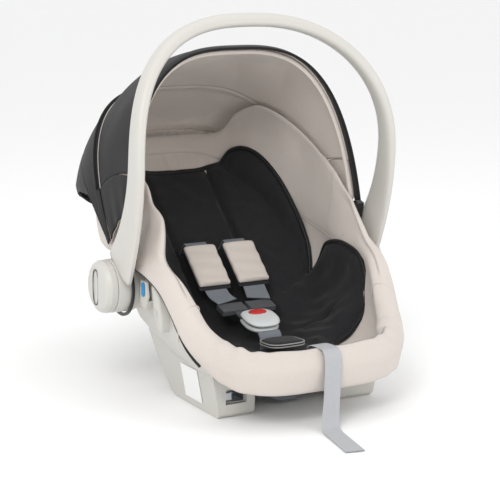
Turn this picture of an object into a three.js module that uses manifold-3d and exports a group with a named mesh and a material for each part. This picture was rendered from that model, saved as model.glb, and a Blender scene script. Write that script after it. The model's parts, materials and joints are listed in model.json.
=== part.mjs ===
// Infant car seat with a carry handle, a folding canopy and a three-point harness.
// Millimetres. +Z up, the child's feet towards -Y, the head towards +Y, X across.
// The origin is on the floor under the middle of the seat.
import * as THREE from 'three';
import { mergeVertices } from 'three/addons/utils/BufferGeometryUtils.js';
import Module from 'manifold-3d';

const wasm = await Module();
wasm.setup();

// ---------------------------------------------------------------- driving dimensions
const GAP = 0.4;                       // clearance kept between touching pieces
const PIVOT = { y: -48, z: 171 };      // axis of the carry handle and of the canopy

// Bucket: plan is a superellipse about (0, centreY), narrowed towards the head.
const BUCKET = { halfWidth: 182, halfLength: 268, centreY: -38, wall: 4, squareness: 3.2, headTaper: 0.24 };
const RIM_LINE = [[-306, 88], [-285, 92], [-250, 103], [-215, 126], [-190, 158], [-165, 184], [-130, 200],
  [-88, 208], [-48, 212], [20, 225], [80, 250], [150, 290], [205, 322], [230, 334]];
const KEEL_LINE = [[-306, 56], [-250, 46], [-180, 40], [-110, 40], [-60, 50], [0, 92], [60, 146],
  [120, 200], [180, 254], [230, 297]];
const AROUND = 36;                     // steps round the bucket
const UP_WALL = 9;                     // steps from the middle of the floor to the rim

// Layers inside the bucket, as depths from its outer face.
const FOAM = { outer: 6, inner: 19, top: 0.93 };
const LINER = { outer: 20.4, inner: 24.4, top: 0.97 };
const INSERT_BASE = 30;

// Harness.
const STRAP = { width: 38, thick: 1.6, x: 34.5, slotY: 44 };
const CROTCH_SLOT_Y = -146;
const BACK_SLOPE = Math.atan(0.9);     // recline of the back from the floor

// Handle: straight legs, then a superelliptic arch, bowed towards the feet.
const HANDLE = { halfSpan: 212, leg: 188, arch: 199.5, power: 2.44, bow: 78, bowLength: 400, lean: 0.032 };
const HUB = { radius: 40, boss: 38, face: 188.8, cavity: 192, cap: 222.4, crest: 243 };
const BUTTON = { width: 16, height: 49, travel: 5 };

// Canopy: surfaces of revolution about the pivot axis with a superelliptic outline across the seat.
const CANOPY = { power: 3, bowLean: 0.1731, bowOffset: 42.7 };
const FRONT_PANEL = { radius: 346, halfWidth: 196.4, lowRadius: 165, end: 38 };
const REAR_PANEL = { radius: 353, rearRadius: 372, halfWidth: 199.5, lowRadius: 165, start: 41.6, end: 77,
  hemFrom: 2 / 3, hemTurn: 0.15 };        // the last third turns in under the head end

// Base under the bucket.
const RAIL = { inner: 73, bottomOuter: 130, flare: 0.183, frontY: -226 };
const WINDOW = { x: 103, z: 31, width: 34, height: 22, depth: 40 };

// ---------------------------------------------------------------- colours
const finish = (color, roughness, metalness = 0) => new THREE.MeshStandardMaterial({ color, roughness, metalness });
const PLASTIC = finish(0xc8c6be, 0.5);
const DARK_PLASTIC = finish(0x53565a, 0.6);
const BEIGE_FABRIC = finish(0xdcd5cd, 0.9);
const BLACK_FABRIC = finish(0x232326, 0.85);
const CANOPY_FABRIC = finish(0x2d2c30, 0.8);
const WEBBING = finish(0x6e737a, 0.75);
const PULL_WEBBING = finish(0xc3c6cb, 0.6);
const FOAM_WHITE = finish(0xf2f2f0, 0.95);
const BUCKLE_GREY = finish(0xc8cdcd, 0.45);
const RED = finish(0xbe2323, 0.4);
const BLUE = finish(0x0082be, 0.4);
const LABEL_WHITE = finish(0xf4f4f2, 0.5);
const STEEL = finish(0xa9adb2, 0.35, 0.9);

// ---------------------------------------------------------------- geometry helpers
const seat = new THREE.Group();

function place(name, geometry, material) {
  const mesh = new THREE.Mesh(geometry, material);
  mesh.name = name;
  seat.add(mesh);
  return mesh;
}

function bothSides(name, material, make) {
  place(`${name}_left`, make(-1), material);
  place(`${name}_right`, make(1), material);
}

const signedPower = (value, power) => Math.sign(value) * Math.abs(value) ** power;
const clamp01 = (value) => Math.min(1, Math.max(0, value));

// Smooth height along y through stations [y, z], by cubic Hermite pieces.
function profile(stations) {
  const slopeAt = stations.map((p, i) => {
    const before = stations[Math.max(i - 1, 0)];
    const after = stations[Math.min(i + 1, stations.length - 1)];
    return (after[1] - before[1]) / (after[0] - before[0]);
  });
  return (y) => {
    const last = stations.length - 2;
    const found = stations.findIndex((p, i) => i <= last && y <= stations[i + 1][0]);
    const i = found < 0 ? last : found;
    const span = stations[i + 1][0] - stations[i][0];
    const t = clamp01((y - stations[i][0]) / span);
    const rise = stations[i][1] * (1 + 2 * t) * (1 - t) ** 2 + stations[i + 1][1] * t * t * (3 - 2 * t);
    return rise + span * (slopeAt[i] * t * (1 - t) ** 2 + slopeAt[i + 1] * t * t * (t - 1));
  };
}
const rimHeight = profile(RIM_LINE);
const keelHeight = profile(KEEL_LINE);
const keelStretch = (y) => Math.hypot(1, (keelHeight(y + 2) - keelHeight(y - 2)) / 4);
const bucketTaper = (y) => 1 - BUCKET.headTaper * Math.max(0, (y - BUCKET.centreY) / BUCKET.halfLength) ** 2;

// Closes a list of points and triangles into one welded geometry without collapsed faces.
function weld(points, faces) {
  const loose = new THREE.BufferGeometry();
  loose.setAttribute('position', new THREE.Float32BufferAttribute(points.flat(), 3));
  loose.setIndex(faces.flat());
  const joined = mergeVertices(loose, 1e-3);
  const index = joined.getIndex().array;
  const kept = [];
  for (let i = 0; i < index.length; i += 3) {
    const [a, b, c] = [index[i], index[i + 1], index[i + 2]];
    if (a !== b && b !== c && a !== c) kept.push(a, b, c);
  }
  joined.setIndex(kept);
  return joined;
}

// Signed volume, used to turn a closed surface the right way out.
function outward(geometry) {
  const p = geometry.getAttribute('position');
  const index = geometry.getIndex().array;
  const [a, b, c] = [new THREE.Vector3(), new THREE.Vector3(), new THREE.Vector3()];
  let volume = 0;
  for (let i = 0; i < index.length; i += 3) {
    a.fromBufferAttribute(p, index[i]);
    b.fromBufferAttribute(p, index[i + 1]);
    c.fromBufferAttribute(p, index[i + 2]);
    volume += a.dot(b.cross(c));
  }
  if (volume < 0) {
    for (let i = 0; i < index.length; i += 3) {
      [index[i], index[i + 1]] = [index[i + 1], index[i]];
    }
  }
  return geometry;
}

// A closed solid between two sheets, each a function (u, v) -> [x, y, z] on the same grid.
// around: the sheets close on themselves in u.
function sheetSolid(top, bottom, nu, nv, around = false) {
  const points = [];
  const faces = [];
  for (const sheet of [top, bottom]) {
    for (let i = 0; i <= nu; i++) {
      for (let j = 0; j <= nv; j++) points.push(sheet((around && i === nu ? 0 : i) / nu, j / nv));
    }
  }
  const count = (nu + 1) * (nv + 1);
  const at = (i, j, sheet) => sheet * count + i * (nv + 1) + j;
  const quad = (a, b, c, d) => faces.push([a, b, c], [a, c, d]);
  for (let i = 0; i < nu; i++) {
    for (let j = 0; j < nv; j++) {
      quad(at(i, j, 0), at(i + 1, j, 0), at(i + 1, j + 1, 0), at(i, j + 1, 0));
      quad(at(i, j, 1), at(i, j + 1, 1), at(i + 1, j + 1, 1), at(i + 1, j, 1));
    }
    quad(at(i, 0, 1), at(i + 1, 0, 1), at(i + 1, 0, 0), at(i, 0, 0));
    quad(at(i, nv, 0), at(i + 1, nv, 0), at(i + 1, nv, 1), at(i, nv, 1));
  }
  if (!around) {
    for (let j = 0; j < nv; j++) {
      quad(at(0, j, 0), at(0, j + 1, 0), at(0, j + 1, 1), at(0, j, 1));
      quad(at(nu, j, 1), at(nu, j + 1, 1), at(nu, j + 1, 0), at(nu, j, 0));
    }
  }
  return outward(weld(points, faces));
}

// A solid swept through sections: rings of points, one ring for each step.
// closed: the last ring joins the first, otherwise flat ends close it.
function sweptSolid(rings, closed = false) {
  const n = rings[0].length;
  const points = rings.flat();
  const faces = [];
  const steps = closed ? rings.length : rings.length - 1;
  for (let i = 0; i < steps; i++) {
    const next = ((i + 1) % rings.length) * n;
    for (let j = 0; j < n; j++) {
      const k = (j + 1) % n;
      faces.push([i * n + j, i * n + k, next + k], [i * n + j, next + k, next + j]);
    }
  }
  if (!closed) {
    const end = (rings.length - 1) * n;
    const caps = THREE.ShapeUtils.triangulateShape(flatten(rings[0]), []);
    for (const [a, b, c] of caps) faces.push([c, b, a]);
    const endCaps = THREE.ShapeUtils.triangulateShape(flatten(rings.at(-1)), []);
    for (const [a, b, c] of endCaps) faces.push([end + a, end + b, end + c]);
  }
  return outward(weld(points, faces));
}

// A ring of points in space seen flat in its own plane, for triangulating an end.
function flatten(ring) {
  const origin = new THREE.Vector3(...ring[0]);
  const across = new THREE.Vector3(...ring[1]).sub(origin).normalize();
  const normal = new THREE.Vector3();
  for (let i = 1; i + 1 < ring.length; i++) {
    const a = new THREE.Vector3(...ring[i]).sub(origin);
    normal.add(a.cross(new THREE.Vector3(...ring[i + 1]).sub(origin)));
  }
  normal.normalize();
  const up = normal.clone().cross(across);
  return ring.map((p) => {
    const d = new THREE.Vector3(...p).sub(origin);
    return new THREE.Vector2(d.dot(across), d.dot(up));
  });
}

// Superelliptic section across a path: half sizes along two directions.
function sectionRing(centre, wide, thick, halfWide, halfThick, sides = 12, power = 2.6) {
  return Array.from({ length: sides }, (_, i) => {
    const angle = (i + 0.5) / sides * 2 * Math.PI;
    const w = halfWide * signedPower(Math.cos(angle), 2 / power);
    const t = halfThick * signedPower(Math.sin(angle), 2 / power);
    return centre.clone().addScaledVector(wide, w).addScaledVector(thick, t).toArray();
  });
}

// A blade along a path of Vector3: halfWide and halfThick are functions of 0..1 along it,
// and the wide side keeps as close to `lay` as the path allows.
function blade(path, lay, halfWide, halfThick, sides = 12, power = 2.6) {
  const last = path.length - 1;
  const rings = path.map((p, i) => {
    const along = path[Math.min(i + 1, last)].clone().sub(path[Math.max(i - 1, 0)]).normalize();
    const wide = lay.clone().addScaledVector(along, -lay.dot(along)).normalize();
    const thick = along.clone().cross(wide);
    return sectionRing(p, wide, thick, halfWide(i / last), halfThick(i / last), sides, power);
  });
  return sweptSolid(rings);
}

// A flat strap along points [x, y, z], always level across X.
function strap(points, width, thick) {
  const path = points.map((p) => new THREE.Vector3(...p));
  const last = path.length - 1;
  const rings = path.map((p, i) => {
    const along = path[Math.min(i + 1, last)].clone().sub(path[Math.max(i - 1, 0)]).normalize();
    const across = new THREE.Vector3(1, 0, 0).addScaledVector(along, -along.x).normalize();
    const up = across.clone().cross(along);
    const corner = (w, t) => p.clone().addScaledVector(across, w * width / 2)
      .addScaledVector(up, t * thick / 2).toArray();
    return [corner(-1, -1), corner(1, -1), corner(1, 1), corner(-1, 1)];
  });
  return sweptSolid(rings);
}

// Turned piece: a closed profile of [radius, offset] spun about an X axis through the pivot.
function turned(profilePoints, side, steps = 20) {
  const outline = profilePoints.map(([r, x]) => new THREE.Vector2(r, x));
  const geometry = new THREE.LatheGeometry(outline, steps);
  geometry.rotateZ(-Math.PI / 2);
  if (side < 0) geometry.rotateZ(Math.PI);
  geometry.translate(0, PIVOT.y, PIVOT.z);
  return clean(geometry);
}

// Disc or tube about the pivot axis, from x0 to x1.
function pivotRing(outer, inner, x0, x1, side, steps = 20) {
  if (inner === 0) return turned([[0, x0], [outer, x0], [outer, x1], [0, x1]], side, steps);
  return turned([[inner, x0], [outer, x0], [outer, x1], [inner, x1], [inner, x0]], side, steps);
}

function block(x0, x1, y0, y1, z0, z1) {
  const geometry = new THREE.BoxGeometry(x1 - x0, y1 - y0, z1 - z0);
  geometry.translate((x0 + x1) / 2, (y0 + y1) / 2, (z0 + z1) / 2);
  return geometry;
}

// Outline [y, z] in the side view, spread from x0 to x1 (each a number or a function of z).
function sidePlate(outline, x0, x1) {
  const shape = new THREE.Shape(outline.map(([y, z]) => new THREE.Vector2(y, z)));
  const geometry = clean(new THREE.ExtrudeGeometry(shape, { depth: 1, bevelEnabled: false }));
  const p = geometry.getAttribute('position');
  const value = (limit, z) => (typeof limit === 'function' ? limit(z) : limit);
  for (let i = 0; i < p.count; i++) {
    const [y, z, far] = [p.getX(i), p.getY(i), p.getZ(i)];
    p.setXYZ(i, far > 0.5 ? value(x1, z) : value(x0, z), y, z);
  }
  return outward(geometry);
}

// Stadium or slot outline in a plane, spread along the third axis.
function slotPlate(width, height, depth, axis) {
  const r = Math.min(width, height) / 2;
  const [sx, sy] = [width / 2 - r, height / 2 - r];
  const shape = new THREE.Shape();
  if (sy > 0) {
    shape.absarc(0, sy, r, 0, Math.PI);
    shape.absarc(0, -sy, r, Math.PI, 2 * Math.PI);
  } else {
    shape.absarc(sx, 0, r, -Math.PI / 2, Math.PI / 2);
    shape.absarc(-sx, 0, r, Math.PI / 2, 1.5 * Math.PI);
  }
  const geometry = new THREE.ExtrudeGeometry(shape, { depth, bevelEnabled: false, curveSegments: 8 });
  geometry.translate(0, 0, -depth / 2);
  if (axis === 'x') {
    geometry.rotateY(Math.PI / 2);
  }
  return clean(geometry);
}

function clean(geometry) {
  const bare = geometry.clone();
  for (const name of Object.keys(bare.attributes)) {
    if (name !== 'position') bare.deleteAttribute(name);
  }
  const joined = mergeVertices(bare, 1e-3);
  const index = joined.getIndex().array;
  const kept = [];
  for (let i = 0; i < index.length; i += 3) {
    const [a, b, c] = [index[i], index[i + 1], index[i + 2]];
    if (a !== b && b !== c && a !== c) kept.push(a, b, c);
  }
  joined.setIndex(kept);
  return outward(joined);
}

// ---------------------------------------------------------------- joins and cuts
function solidOf(geometry) {
  const bare = clean(geometry);
  const mesh = new wasm.Mesh({
    numProp: 3,
    vertProperties: new Float32Array(bare.getAttribute('position').array),
    triVerts: new Uint32Array(bare.getIndex().array),
  });
  return new wasm.Manifold(mesh);
}

function geometryOf(solid) {
  const mesh = solid.getMesh();
  const geometry = new THREE.BufferGeometry();
  const position = [];
  for (let i = 0; i < mesh.vertProperties.length; i += mesh.numProp) {
    position.push(mesh.vertProperties[i], mesh.vertProperties[i + 1], mesh.vertProperties[i + 2]);
  }
  geometry.setAttribute('position', new THREE.Float32BufferAttribute(position, 3));
  geometry.setIndex([...mesh.triVerts]);
  return geometry;
}

const join = (...parts) => geometryOf(parts.map(solidOf).reduce((sum, part) => sum.add(part)));
const cut = (body, ...tools) => geometryOf(tools.map(solidOf).reduce((rest, tool) => rest.subtract(tool),
  solidOf(body)));

// ---------------------------------------------------------------- bucket surfaces
// Point on the bucket at an angle round it, t from the middle of the floor (0) to the rim (1),
// at a depth inside the outer face.
function bucketPoint(turn, t, depth) {
  const angle = turn * 2 * Math.PI;
  const round = 2 / BUCKET.squareness;
  const climb = t ** 1.6 * Math.PI / 2;              // evens out the steps across the floor
  const reach = Math.sin(climb) ** round;
  const lift = 1 - Math.max(0, Math.cos(climb)) ** round;
  const across = signedPower(Math.cos(angle), round);
  const along = signedPower(Math.sin(angle), round);
  const y = BUCKET.centreY + (BUCKET.halfLength - depth) * reach * along;
  const rimY = BUCKET.centreY + (BUCKET.halfLength - depth) * along;
  const x = (BUCKET.halfWidth - depth) * reach * across * bucketTaper(y);
  const floor = keelHeight(y) + depth * keelStretch(y);
  const rimFloor = keelHeight(rimY) + depth * keelStretch(rimY);
  const rimRise = Math.max(0.5, rimHeight(rimY) - rimFloor);
  return [x, y, floor + rimRise * lift];
}

// Height of the bucket surface at a depth above the point (x, y).
function bucketHeight(x, y, depth) {
  const power = BUCKET.squareness;
  const across = Math.abs(x) / bucketTaper(y) / (BUCKET.halfWidth - depth);
  const along = (y - BUCKET.centreY) / (BUCKET.halfLength - depth);
  const reach = Math.min(0.999, (across ** power + Math.abs(along) ** power) ** (1 / power));
  const rimY = reach > 0.01 ? BUCKET.centreY + (BUCKET.halfLength - depth) * along / reach : y;
  const lift = 1 - (1 - reach ** power) ** (1 / power);
  const rimFloor = keelHeight(rimY) + depth * keelStretch(rimY);
  return keelHeight(y) + depth * keelStretch(y) + Math.max(0.5, rimHeight(rimY) - rimFloor) * lift;
}

const bucketLayer = (outer, inner, top = 1) => sheetSolid(
  (u, v) => bucketPoint(u, v * top, outer),
  (u, v) => bucketPoint(u, v * top, inner), AROUND, UP_WALL, true);

// Everything inside the wall's middle, up past the rim, for trimming what joins on from outside.
const wallMiddle = BUCKET.wall / 2;
const bucketFill = sheetSolid(
  (u, v) => bucketPoint(u, v, wallMiddle),
  (u, v) => {
    const [x, y, z] = bucketPoint(u, 1, wallMiddle);
    return [x * v, BUCKET.centreY + (y - BUCKET.centreY) * v, v < 1 ? 420 : z];
  }, AROUND, UP_WALL, true);

// Cutters for the harness: two shoulder slots square to the back, a crotch slot and the adjuster's well.
// The harness lies straight along the back; onBack gives a point [y, z] at a distance up the back
// and a lift off it.
const backDirection = new THREE.Vector2(Math.cos(BACK_SLOPE), Math.sin(BACK_SLOPE));
const backLine = { y: 36, z: 200 };
const onBack = (distance, lift) => [
  backLine.y + backDirection.x * distance - backDirection.y * lift,
  backLine.z + backDirection.y * distance + backDirection.x * lift];
const SLOT_UP_BACK = 6;

function shoulderSlot(side) {
  const geometry = new THREE.BoxGeometry(STRAP.width + 6, 10, 150);
  geometry.rotateX(BACK_SLOPE);
  geometry.translate(side * STRAP.x, ...onBack(SLOT_UP_BACK, -40));
  return geometry;
}
const crotchSlot = block(-STRAP.width / 2 - 3, STRAP.width / 2 + 3, CROTCH_SLOT_Y - 5, CROTCH_SLOT_Y + 5, -5, 200);
const ADJUSTER = { y: -271, halfX: 22, halfY: 11, slot: [-6, 9.6] };
const adjusterWell = block(-ADJUSTER.halfX - 1, ADJUSTER.halfX + 1, ADJUSTER.y - ADJUSTER.halfY - 1,
  ADJUSTER.y + ADJUSTER.halfY + 1, 0, 150);
const harnessCutters = [shoulderSlot(-1), shoulderSlot(1), crotchSlot, adjusterWell];

// ---------------------------------------------------------------- shell with its rocker base
const railSide = (z) => RAIL.bottomOuter + RAIL.flare * z;
const RAIL_OUTLINE = [[RAIL.frontY, 6], [RAIL.frontY + 6, 0], [-98, 0], [-80, 4], [-68, 12], [-51, 36], [-36, 66],
  [-27, 94], [-24, 124], [-24, 150], [-200, 150], [RAIL.frontY - 3, 60]];
const RUNNER_OUTLINE = [[-112, 0], [44, 0], [56, 10], [62, 40], [66, 200], [-112, 110]];

function rail(side) {
  const outer = (z) => side * railSide(z);
  const body = join(sidePlate(RAIL_OUTLINE, side * RAIL.inner, outer),
    sidePlate(RUNNER_OUTLINE, side * 50, side * (RAIL.inner + 5)));
  const x = side * WINDOW.x;
  const pocket = block(x - WINDOW.width / 2, x + WINDOW.width / 2, RAIL.frontY - 20, RAIL.frontY + WINDOW.depth,
    WINDOW.z - WINDOW.height / 2, WINDOW.z + WINDOW.height / 2);
  return cut(body, pocket, bucketFill);
}
const boss = (side) => cut(pivotRing(HUB.boss, 0, BUCKET.halfWidth - 8, 188, side), bucketFill);
const boltHole = (side) => pivotRing(5.9, 0, 150, 200, side, 16);

const shellBody = join(bucketLayer(0, BUCKET.wall), rail(-1), rail(1), boss(-1), boss(1));
place('shell', cut(shellBody, ...harnessCutters, boltHole(-1), boltHole(1)), PLASTIC);

// Foot between the rails, with a channel for the adjuster strap.
const FOOT = { y0: -198, y1: -158, bottom: 14, top: 50 };
const footOutline = new THREE.Shape([[-FOOT.bottom, 3], [FOOT.bottom, 3], [FOOT.top, 20], [FOOT.top, 39.4],
  [-FOOT.top, 39.4], [-FOOT.top, 20]].map(([x, z]) => new THREE.Vector2(x, z)));
const footBlock = new THREE.ExtrudeGeometry(footOutline, { depth: FOOT.y1 - FOOT.y0, bevelEnabled: false });
footBlock.rotateX(Math.PI / 2);
footBlock.translate(0, FOOT.y1, 0);
place('keel_foot', cut(footBlock, block(-20, 20, -200, -140, 28, 45)), DARK_PLASTIC);

// Latch sockets in the rail windows, where the seat locks on its vehicle base.
bothSides('latch_socket', DARK_PLASTIC, (side) => {
  const x = side * WINDOW.x;
  const [w, h] = [WINDOW.width / 2 - GAP, WINDOW.height / 2 - GAP];
  const front = RAIL.frontY + 4;
  const back = RAIL.frontY + WINDOW.depth - GAP;
  const box = block(x - w, x + w, front, back, WINDOW.z - h, WINDOW.z + h);
  const hollow = block(x - w + 2, x + w - 2, front - 5, back - 3, WINDOW.z - h + 2, WINDOW.z + h - 2);
  const hook = block(x - w + 1, x - w + 16, front + 8, front + 14, WINDOW.z - h + 1, WINDOW.z + 3);
  return join(cut(box, hollow), hook);
});

// ---------------------------------------------------------------- foam and cover
place('foam_liner', cut(bucketLayer(FOAM.outer, FOAM.inner, FOAM.top), ...harnessCutters), FOAM_WHITE);
place('seat_cover', cut(bucketLayer(LINER.outer, LINER.inner, LINER.top), ...harnessCutters), BEIGE_FABRIC);

// Rolled edge of the cover: a hooked section carried round the rim. Its outer leg is long at the
// front and the head, and stops at the rim beside the hubs and belt guides.
const coverDrop = profile([[-325, 44], [-235, 44], [-200, 34], [-160, 14], [-138, 0], [0, 0], [40, 16], [110, 38], [235, 40]]);
function coverSection(y) {
  const drop = Math.max(0, coverDrop(y));
  const inner = -22 + 11 * clamp01((-262 - y) / 30);    // narrower over the front lip
  return [[inner, 3.5], [inner, 8], [-9, 14], [4, 13.5], [12, 7], [13, 1 - 0.4 * drop], [10, 0.8 - drop],
    [7, 0.8 - drop], [8.5, 1.5 - 0.4 * drop], [2, 3.5]];
}
const rimSteps = 48;
const rimRings = Array.from({ length: rimSteps }, (_, i) => {
  const turn = i / rimSteps;
  const [x, y] = bucketPoint(turn, 1, 0);
  const ahead = bucketPoint(turn + 0.002, 1, 0);
  const behind = bucketPoint(turn - 0.002, 1, 0);
  const out = new THREE.Vector2(ahead[1] - behind[1], behind[0] - ahead[0]).normalize();
  return coverSection(y).map(([o, rise]) => [x + out.x * o, y + out.y * o, rimHeight(y + out.y * o) + rise]);
});
place('cover_rim', sweptSolid(rimRings, true), BEIGE_FABRIC);

// ---------------------------------------------------------------- padded insert
// A pad lying on the bucket surface over a patch of plan, crowned in the middle.
function pad(outline, lift, thick, nu, nv, crown = 4) {
  const height = (u, v, sheet) => {
    const [x, y] = outline(u, v);
    const edge = (4 * u * (1 - u)) ** 0.5 * (4 * v * (1 - v)) ** 0.5;
    const rise = sheet ? 0 : thick * 0.55 + (thick * 0.45 + crown) * clamp01(edge);
    return [x, y, bucketHeight(x, y, INSERT_BASE + lift) + rise * keelStretch(y)];
  };
  return sheetSolid((u, v) => height(u, v, 0), (u, v) => height(u, v, 1), nu, nv);
}
const mix = (a, b, t) => a + (b - a) * t;
const insertCutters = [shoulderSlot(-1), shoulderSlot(1), crotchSlot];
const INSERT = { seam: -52, top: 172, front: -196, centre: 58 };

place('insert_back', cut(pad((u, v) => {
  const y = mix(INSERT.seam, INSERT.top, v);
  return [mix(-1, 1, u) * mix(INSERT.centre, 50, v), y];
}, 0, 10, 8, 8), ...insertCutters), BLACK_FABRIC);
place('insert_seat', cut(pad((u, v) => {
  const y = mix(INSERT.front, INSERT.seam - 2, v);
  return [mix(-1, 1, u) * 58, y];
}, 0, 9, 6, 6, 2), ...insertCutters), BLACK_FABRIC);
bothSides('insert_head_wing', BLACK_FABRIC, (side) => pad((u, v) => {
  const y = mix(60, 166, v);
  const bulge = Math.sin(Math.PI * v);
  return [side * mix(mix(59.5, 51.5, (y - INSERT.seam) / (INSERT.top - INSERT.seam)), 84 + 14 * bulge, u), y];
}, 0, 22, 4, 7, 8));
bothSides('insert_leg_wing', BLACK_FABRIC, (side) => pad((u, v) => {
  const y = mix(-176, 30, v);
  const bulge = Math.sin(Math.PI * clamp01(v * 1.05));
  return [side * mix(y < INSERT.seam ? 59.5 : 60, 84 + 38 * bulge, u), y];
}, 0, 16, 4, 8, 6));

// ---------------------------------------------------------------- harness
bothSides('shoulder_strap', WEBBING, (side) => {
  const x = side * STRAP.x;
  return strap([[side * 21.5, 61, 70], [side * 24, 76, 96], [side * 33, 92, 122], [x, ...onBack(SLOT_UP_BACK, -76)],
    [x, ...onBack(SLOT_UP_BACK, -60)], [x, ...onBack(SLOT_UP_BACK, -6)], [x, ...onBack(SLOT_UP_BACK - 1, -1)],
    [x, ...onBack(SLOT_UP_BACK - 8, 0)], [side * 33, ...onBack(-100, 0)], [side * 27, -47.5, 130]], STRAP.width,
    STRAP.thick);
});
bothSides('shoulder_pad', BEIGE_FABRIC, (side) => {
  const [y0, z0] = onBack(-84, 1.6);
  const [y1, z1] = onBack(-6, 1.6);
  const up = [-backDirection.y, backDirection.x];
  const sheet = (rise) => (u, v) => {
    const round = 1 - 0.5 * (2 * u - 1) ** 4;
    const lift = rise * round;
    return [side * STRAP.x + (u - 0.5) * 54, mix(y0, y1, v) + up[0] * lift, mix(z0, z1, v) + up[1] * lift];
  };
  return sheetSolid(sheet(9), sheet(0), 8, 2);
});

// Buckle, set flat on the crotch and turned up a little towards the child.
const BUCKLE = { y: -112, z: 106, halfX: 29, halfY: 27, halfZ: 9, tilt: 0.28 };
function inBuckle(geometry) {
  geometry.rotateX(BUCKLE.tilt);
  geometry.translate(0, BUCKLE.y, BUCKLE.z);
  return geometry;
}
const buttonSlot = block(-15.5, 15.5, 4, 20, 2, 20);
const tongueSlot = block(-27, 27, 12, 40, -4, 1);
const buckleBlock = cut(block(-BUCKLE.halfX, BUCKLE.halfX, -BUCKLE.halfY, BUCKLE.halfY, -BUCKLE.halfZ, BUCKLE.halfZ),
  buttonSlot, tongueSlot);
place('buckle_body', inBuckle(buckleBlock), BUCKLE_GREY);
place('buckle_button', inBuckle(block(-15, 15, 4.5, 19.5, 5.2, 10.5)), RED);
bothSides('tongue', WEBBING, (side) => {
  const plate = block(side > 0 ? 1.5 : -25.5, side > 0 ? 25.5 : -1.5, 13, 44, -3.2, 0.2);
  const body = block(side > 0 ? 3 : -46, side > 0 ? 46 : -3, 34, 58, -5.5, 3);
  return inBuckle(join(plate, body));
});
place('crotch_strap', strap([[0, CROTCH_SLOT_Y, 37.4], [0, CROTCH_SLOT_Y, 60], [0, CROTCH_SLOT_Y, 84],
  [0, CROTCH_SLOT_Y + 1, 94]], STRAP.width, STRAP.thick), WEBBING);
place('crotch_pad', sheetSolid(
  (u, v) => {
    const [x, y] = [(u - 0.5) * 60, mix(-206, -153, v)];
    return [x, y, bucketHeight(0, y, INSERT_BASE) + 21 - 6 * (2 * u - 1) ** 4];
  },
  (u, v) => {
    const [x, y] = [(u - 0.5) * 60, mix(-206, -153, v)];
    return [x, y, bucketHeight(0, y, INSERT_BASE) + 12.5];
  }, 8, 5), BLACK_FABRIC);

// Splitter plate behind the shell, where both shoulder straps meet the adjuster strap.
place('splitter_plate', cut(block(-48, 48, 50, 68, 66, 69), block(-43, 43, 57, 64, 60, 75)), STEEL);
place('strap_anchor', block(-24, 24, -154, -138, 34, 37), STEEL);
place('under_strap', strap([[0, 49, 66], [0, 20, 50], [0, -40, 33], [0, -110, 31], [0, -160, 31],
  [0, -215, 31], [0, -245, 34], [0, -264, 41]], 28, STRAP.thick), PULL_WEBBING);

// Adjuster at the front edge: a body in the well, its bezel on the cover and a sprung lever.
const lipTop = bucketHeight(0, ADJUSTER.y, LINER.inner);
const adjusterBody = block(-ADJUSTER.halfX, ADJUSTER.halfX, ADJUSTER.y - ADJUSTER.halfY, ADJUSTER.y + ADJUSTER.halfY,
  44, lipTop + 1);
place('adjuster_body', cut(adjusterBody, block(-18, 18, ADJUSTER.y + ADJUSTER.slot[0],
  ADJUSTER.y + ADJUSTER.slot[1], 40, lipTop + 10)), DARK_PLASTIC);
const bezelPlate = slotPlate(58, 27, 4, 'z');
bezelPlate.translate(0, ADJUSTER.y + 1.5, lipTop + 11.5);
place('adjuster_bezel', cut(bezelPlate, block(-16.5, 16.5, ADJUSTER.y + ADJUSTER.slot[0],
  ADJUSTER.y + ADJUSTER.slot[1], lipTop, lipTop + 20)),
  DARK_PLASTIC);
const lever = join(block(-16, 16, ADJUSTER.y + 0.6, ADJUSTER.y + 5.2, lipTop - 16, lipTop + 13),
  block(-16, 16, ADJUSTER.y - 0.6, ADJUSTER.y + 5.2, lipTop - 18, lipTop - 12));
const pinHole = new THREE.CylinderGeometry(1.9, 1.9, 60, 12);
pinHole.rotateZ(Math.PI / 2);
pinHole.translate(0, ADJUSTER.y + 2.6, lipTop - 15);
place('adjuster_lever', cut(lever, pinHole), BUCKLE_GREY);
const pin = new THREE.CylinderGeometry(1.5, 1.5, 35.4, 12);
pin.rotateZ(Math.PI / 2);
pin.translate(0, ADJUSTER.y + 2.6, lipTop - 15);
place('adjuster_pin', pin, STEEL);

// Loose end of the adjuster strap: out of the bezel, over the rolled edge, down and along the floor.
const PULL_ROUTE = [[0, -272.5, 99], [0, -275, 104.5], [0, -284, 107.5], [0, -296, 108.5], [0, -308, 108.5], [-1, -318, 107],
  [-2, -325, 99], [-3, -328, 84], [-5, -330, 64], [-7, -332, 44], [-10, -335, 26], [-14, -340, 12], [-18, -349, 4],
  [-22, -362, 1.6], [-26, -382, 1.4], [-30, -402, 1.4], [-34, -422, 1.4], [-38, -442, 1.4]];
place('adjuster_strap', strap(PULL_ROUTE, 28, 1.8), PULL_WEBBING);

// ---------------------------------------------------------------- side fittings
bothSides('belt_guide', PLASTIC, (side) => {
  const outline = [[-130, 196], [-100, 198], [-98, 178], [-106, 150], [-122, 148], [-132, 170]];
  const back = sidePlate(outline, side * 182.6, side * 185.6);
  const web = sidePlate([[-128, 160], [-104, 160], [-108, 150], [-122, 148]], side * 185, side * 196);
  const leaf = sidePlate([[-126, 188], [-108, 188], [-104, 172], [-108, 150], [-122, 148], [-130, 168]],
    side * 193, side * 196);
  return join(back, web, leaf);
});
bothSides('guide_mark', BLUE, (side) => sidePlate([[-121, 184], [-116, 187], [-111, 184], [-111, 168], [-116, 165],
  [-121, 168]], side * 196.4, side * 197.8));
const labelTilt = Math.atan(RAIL.flare);
const label = new THREE.BoxGeometry(0.5, 54, 52);
label.rotateY(-labelTilt);
label.translate(-railSide(37) - 0.8, -152, 37);
place('label', label, LABEL_WHITE);

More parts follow.
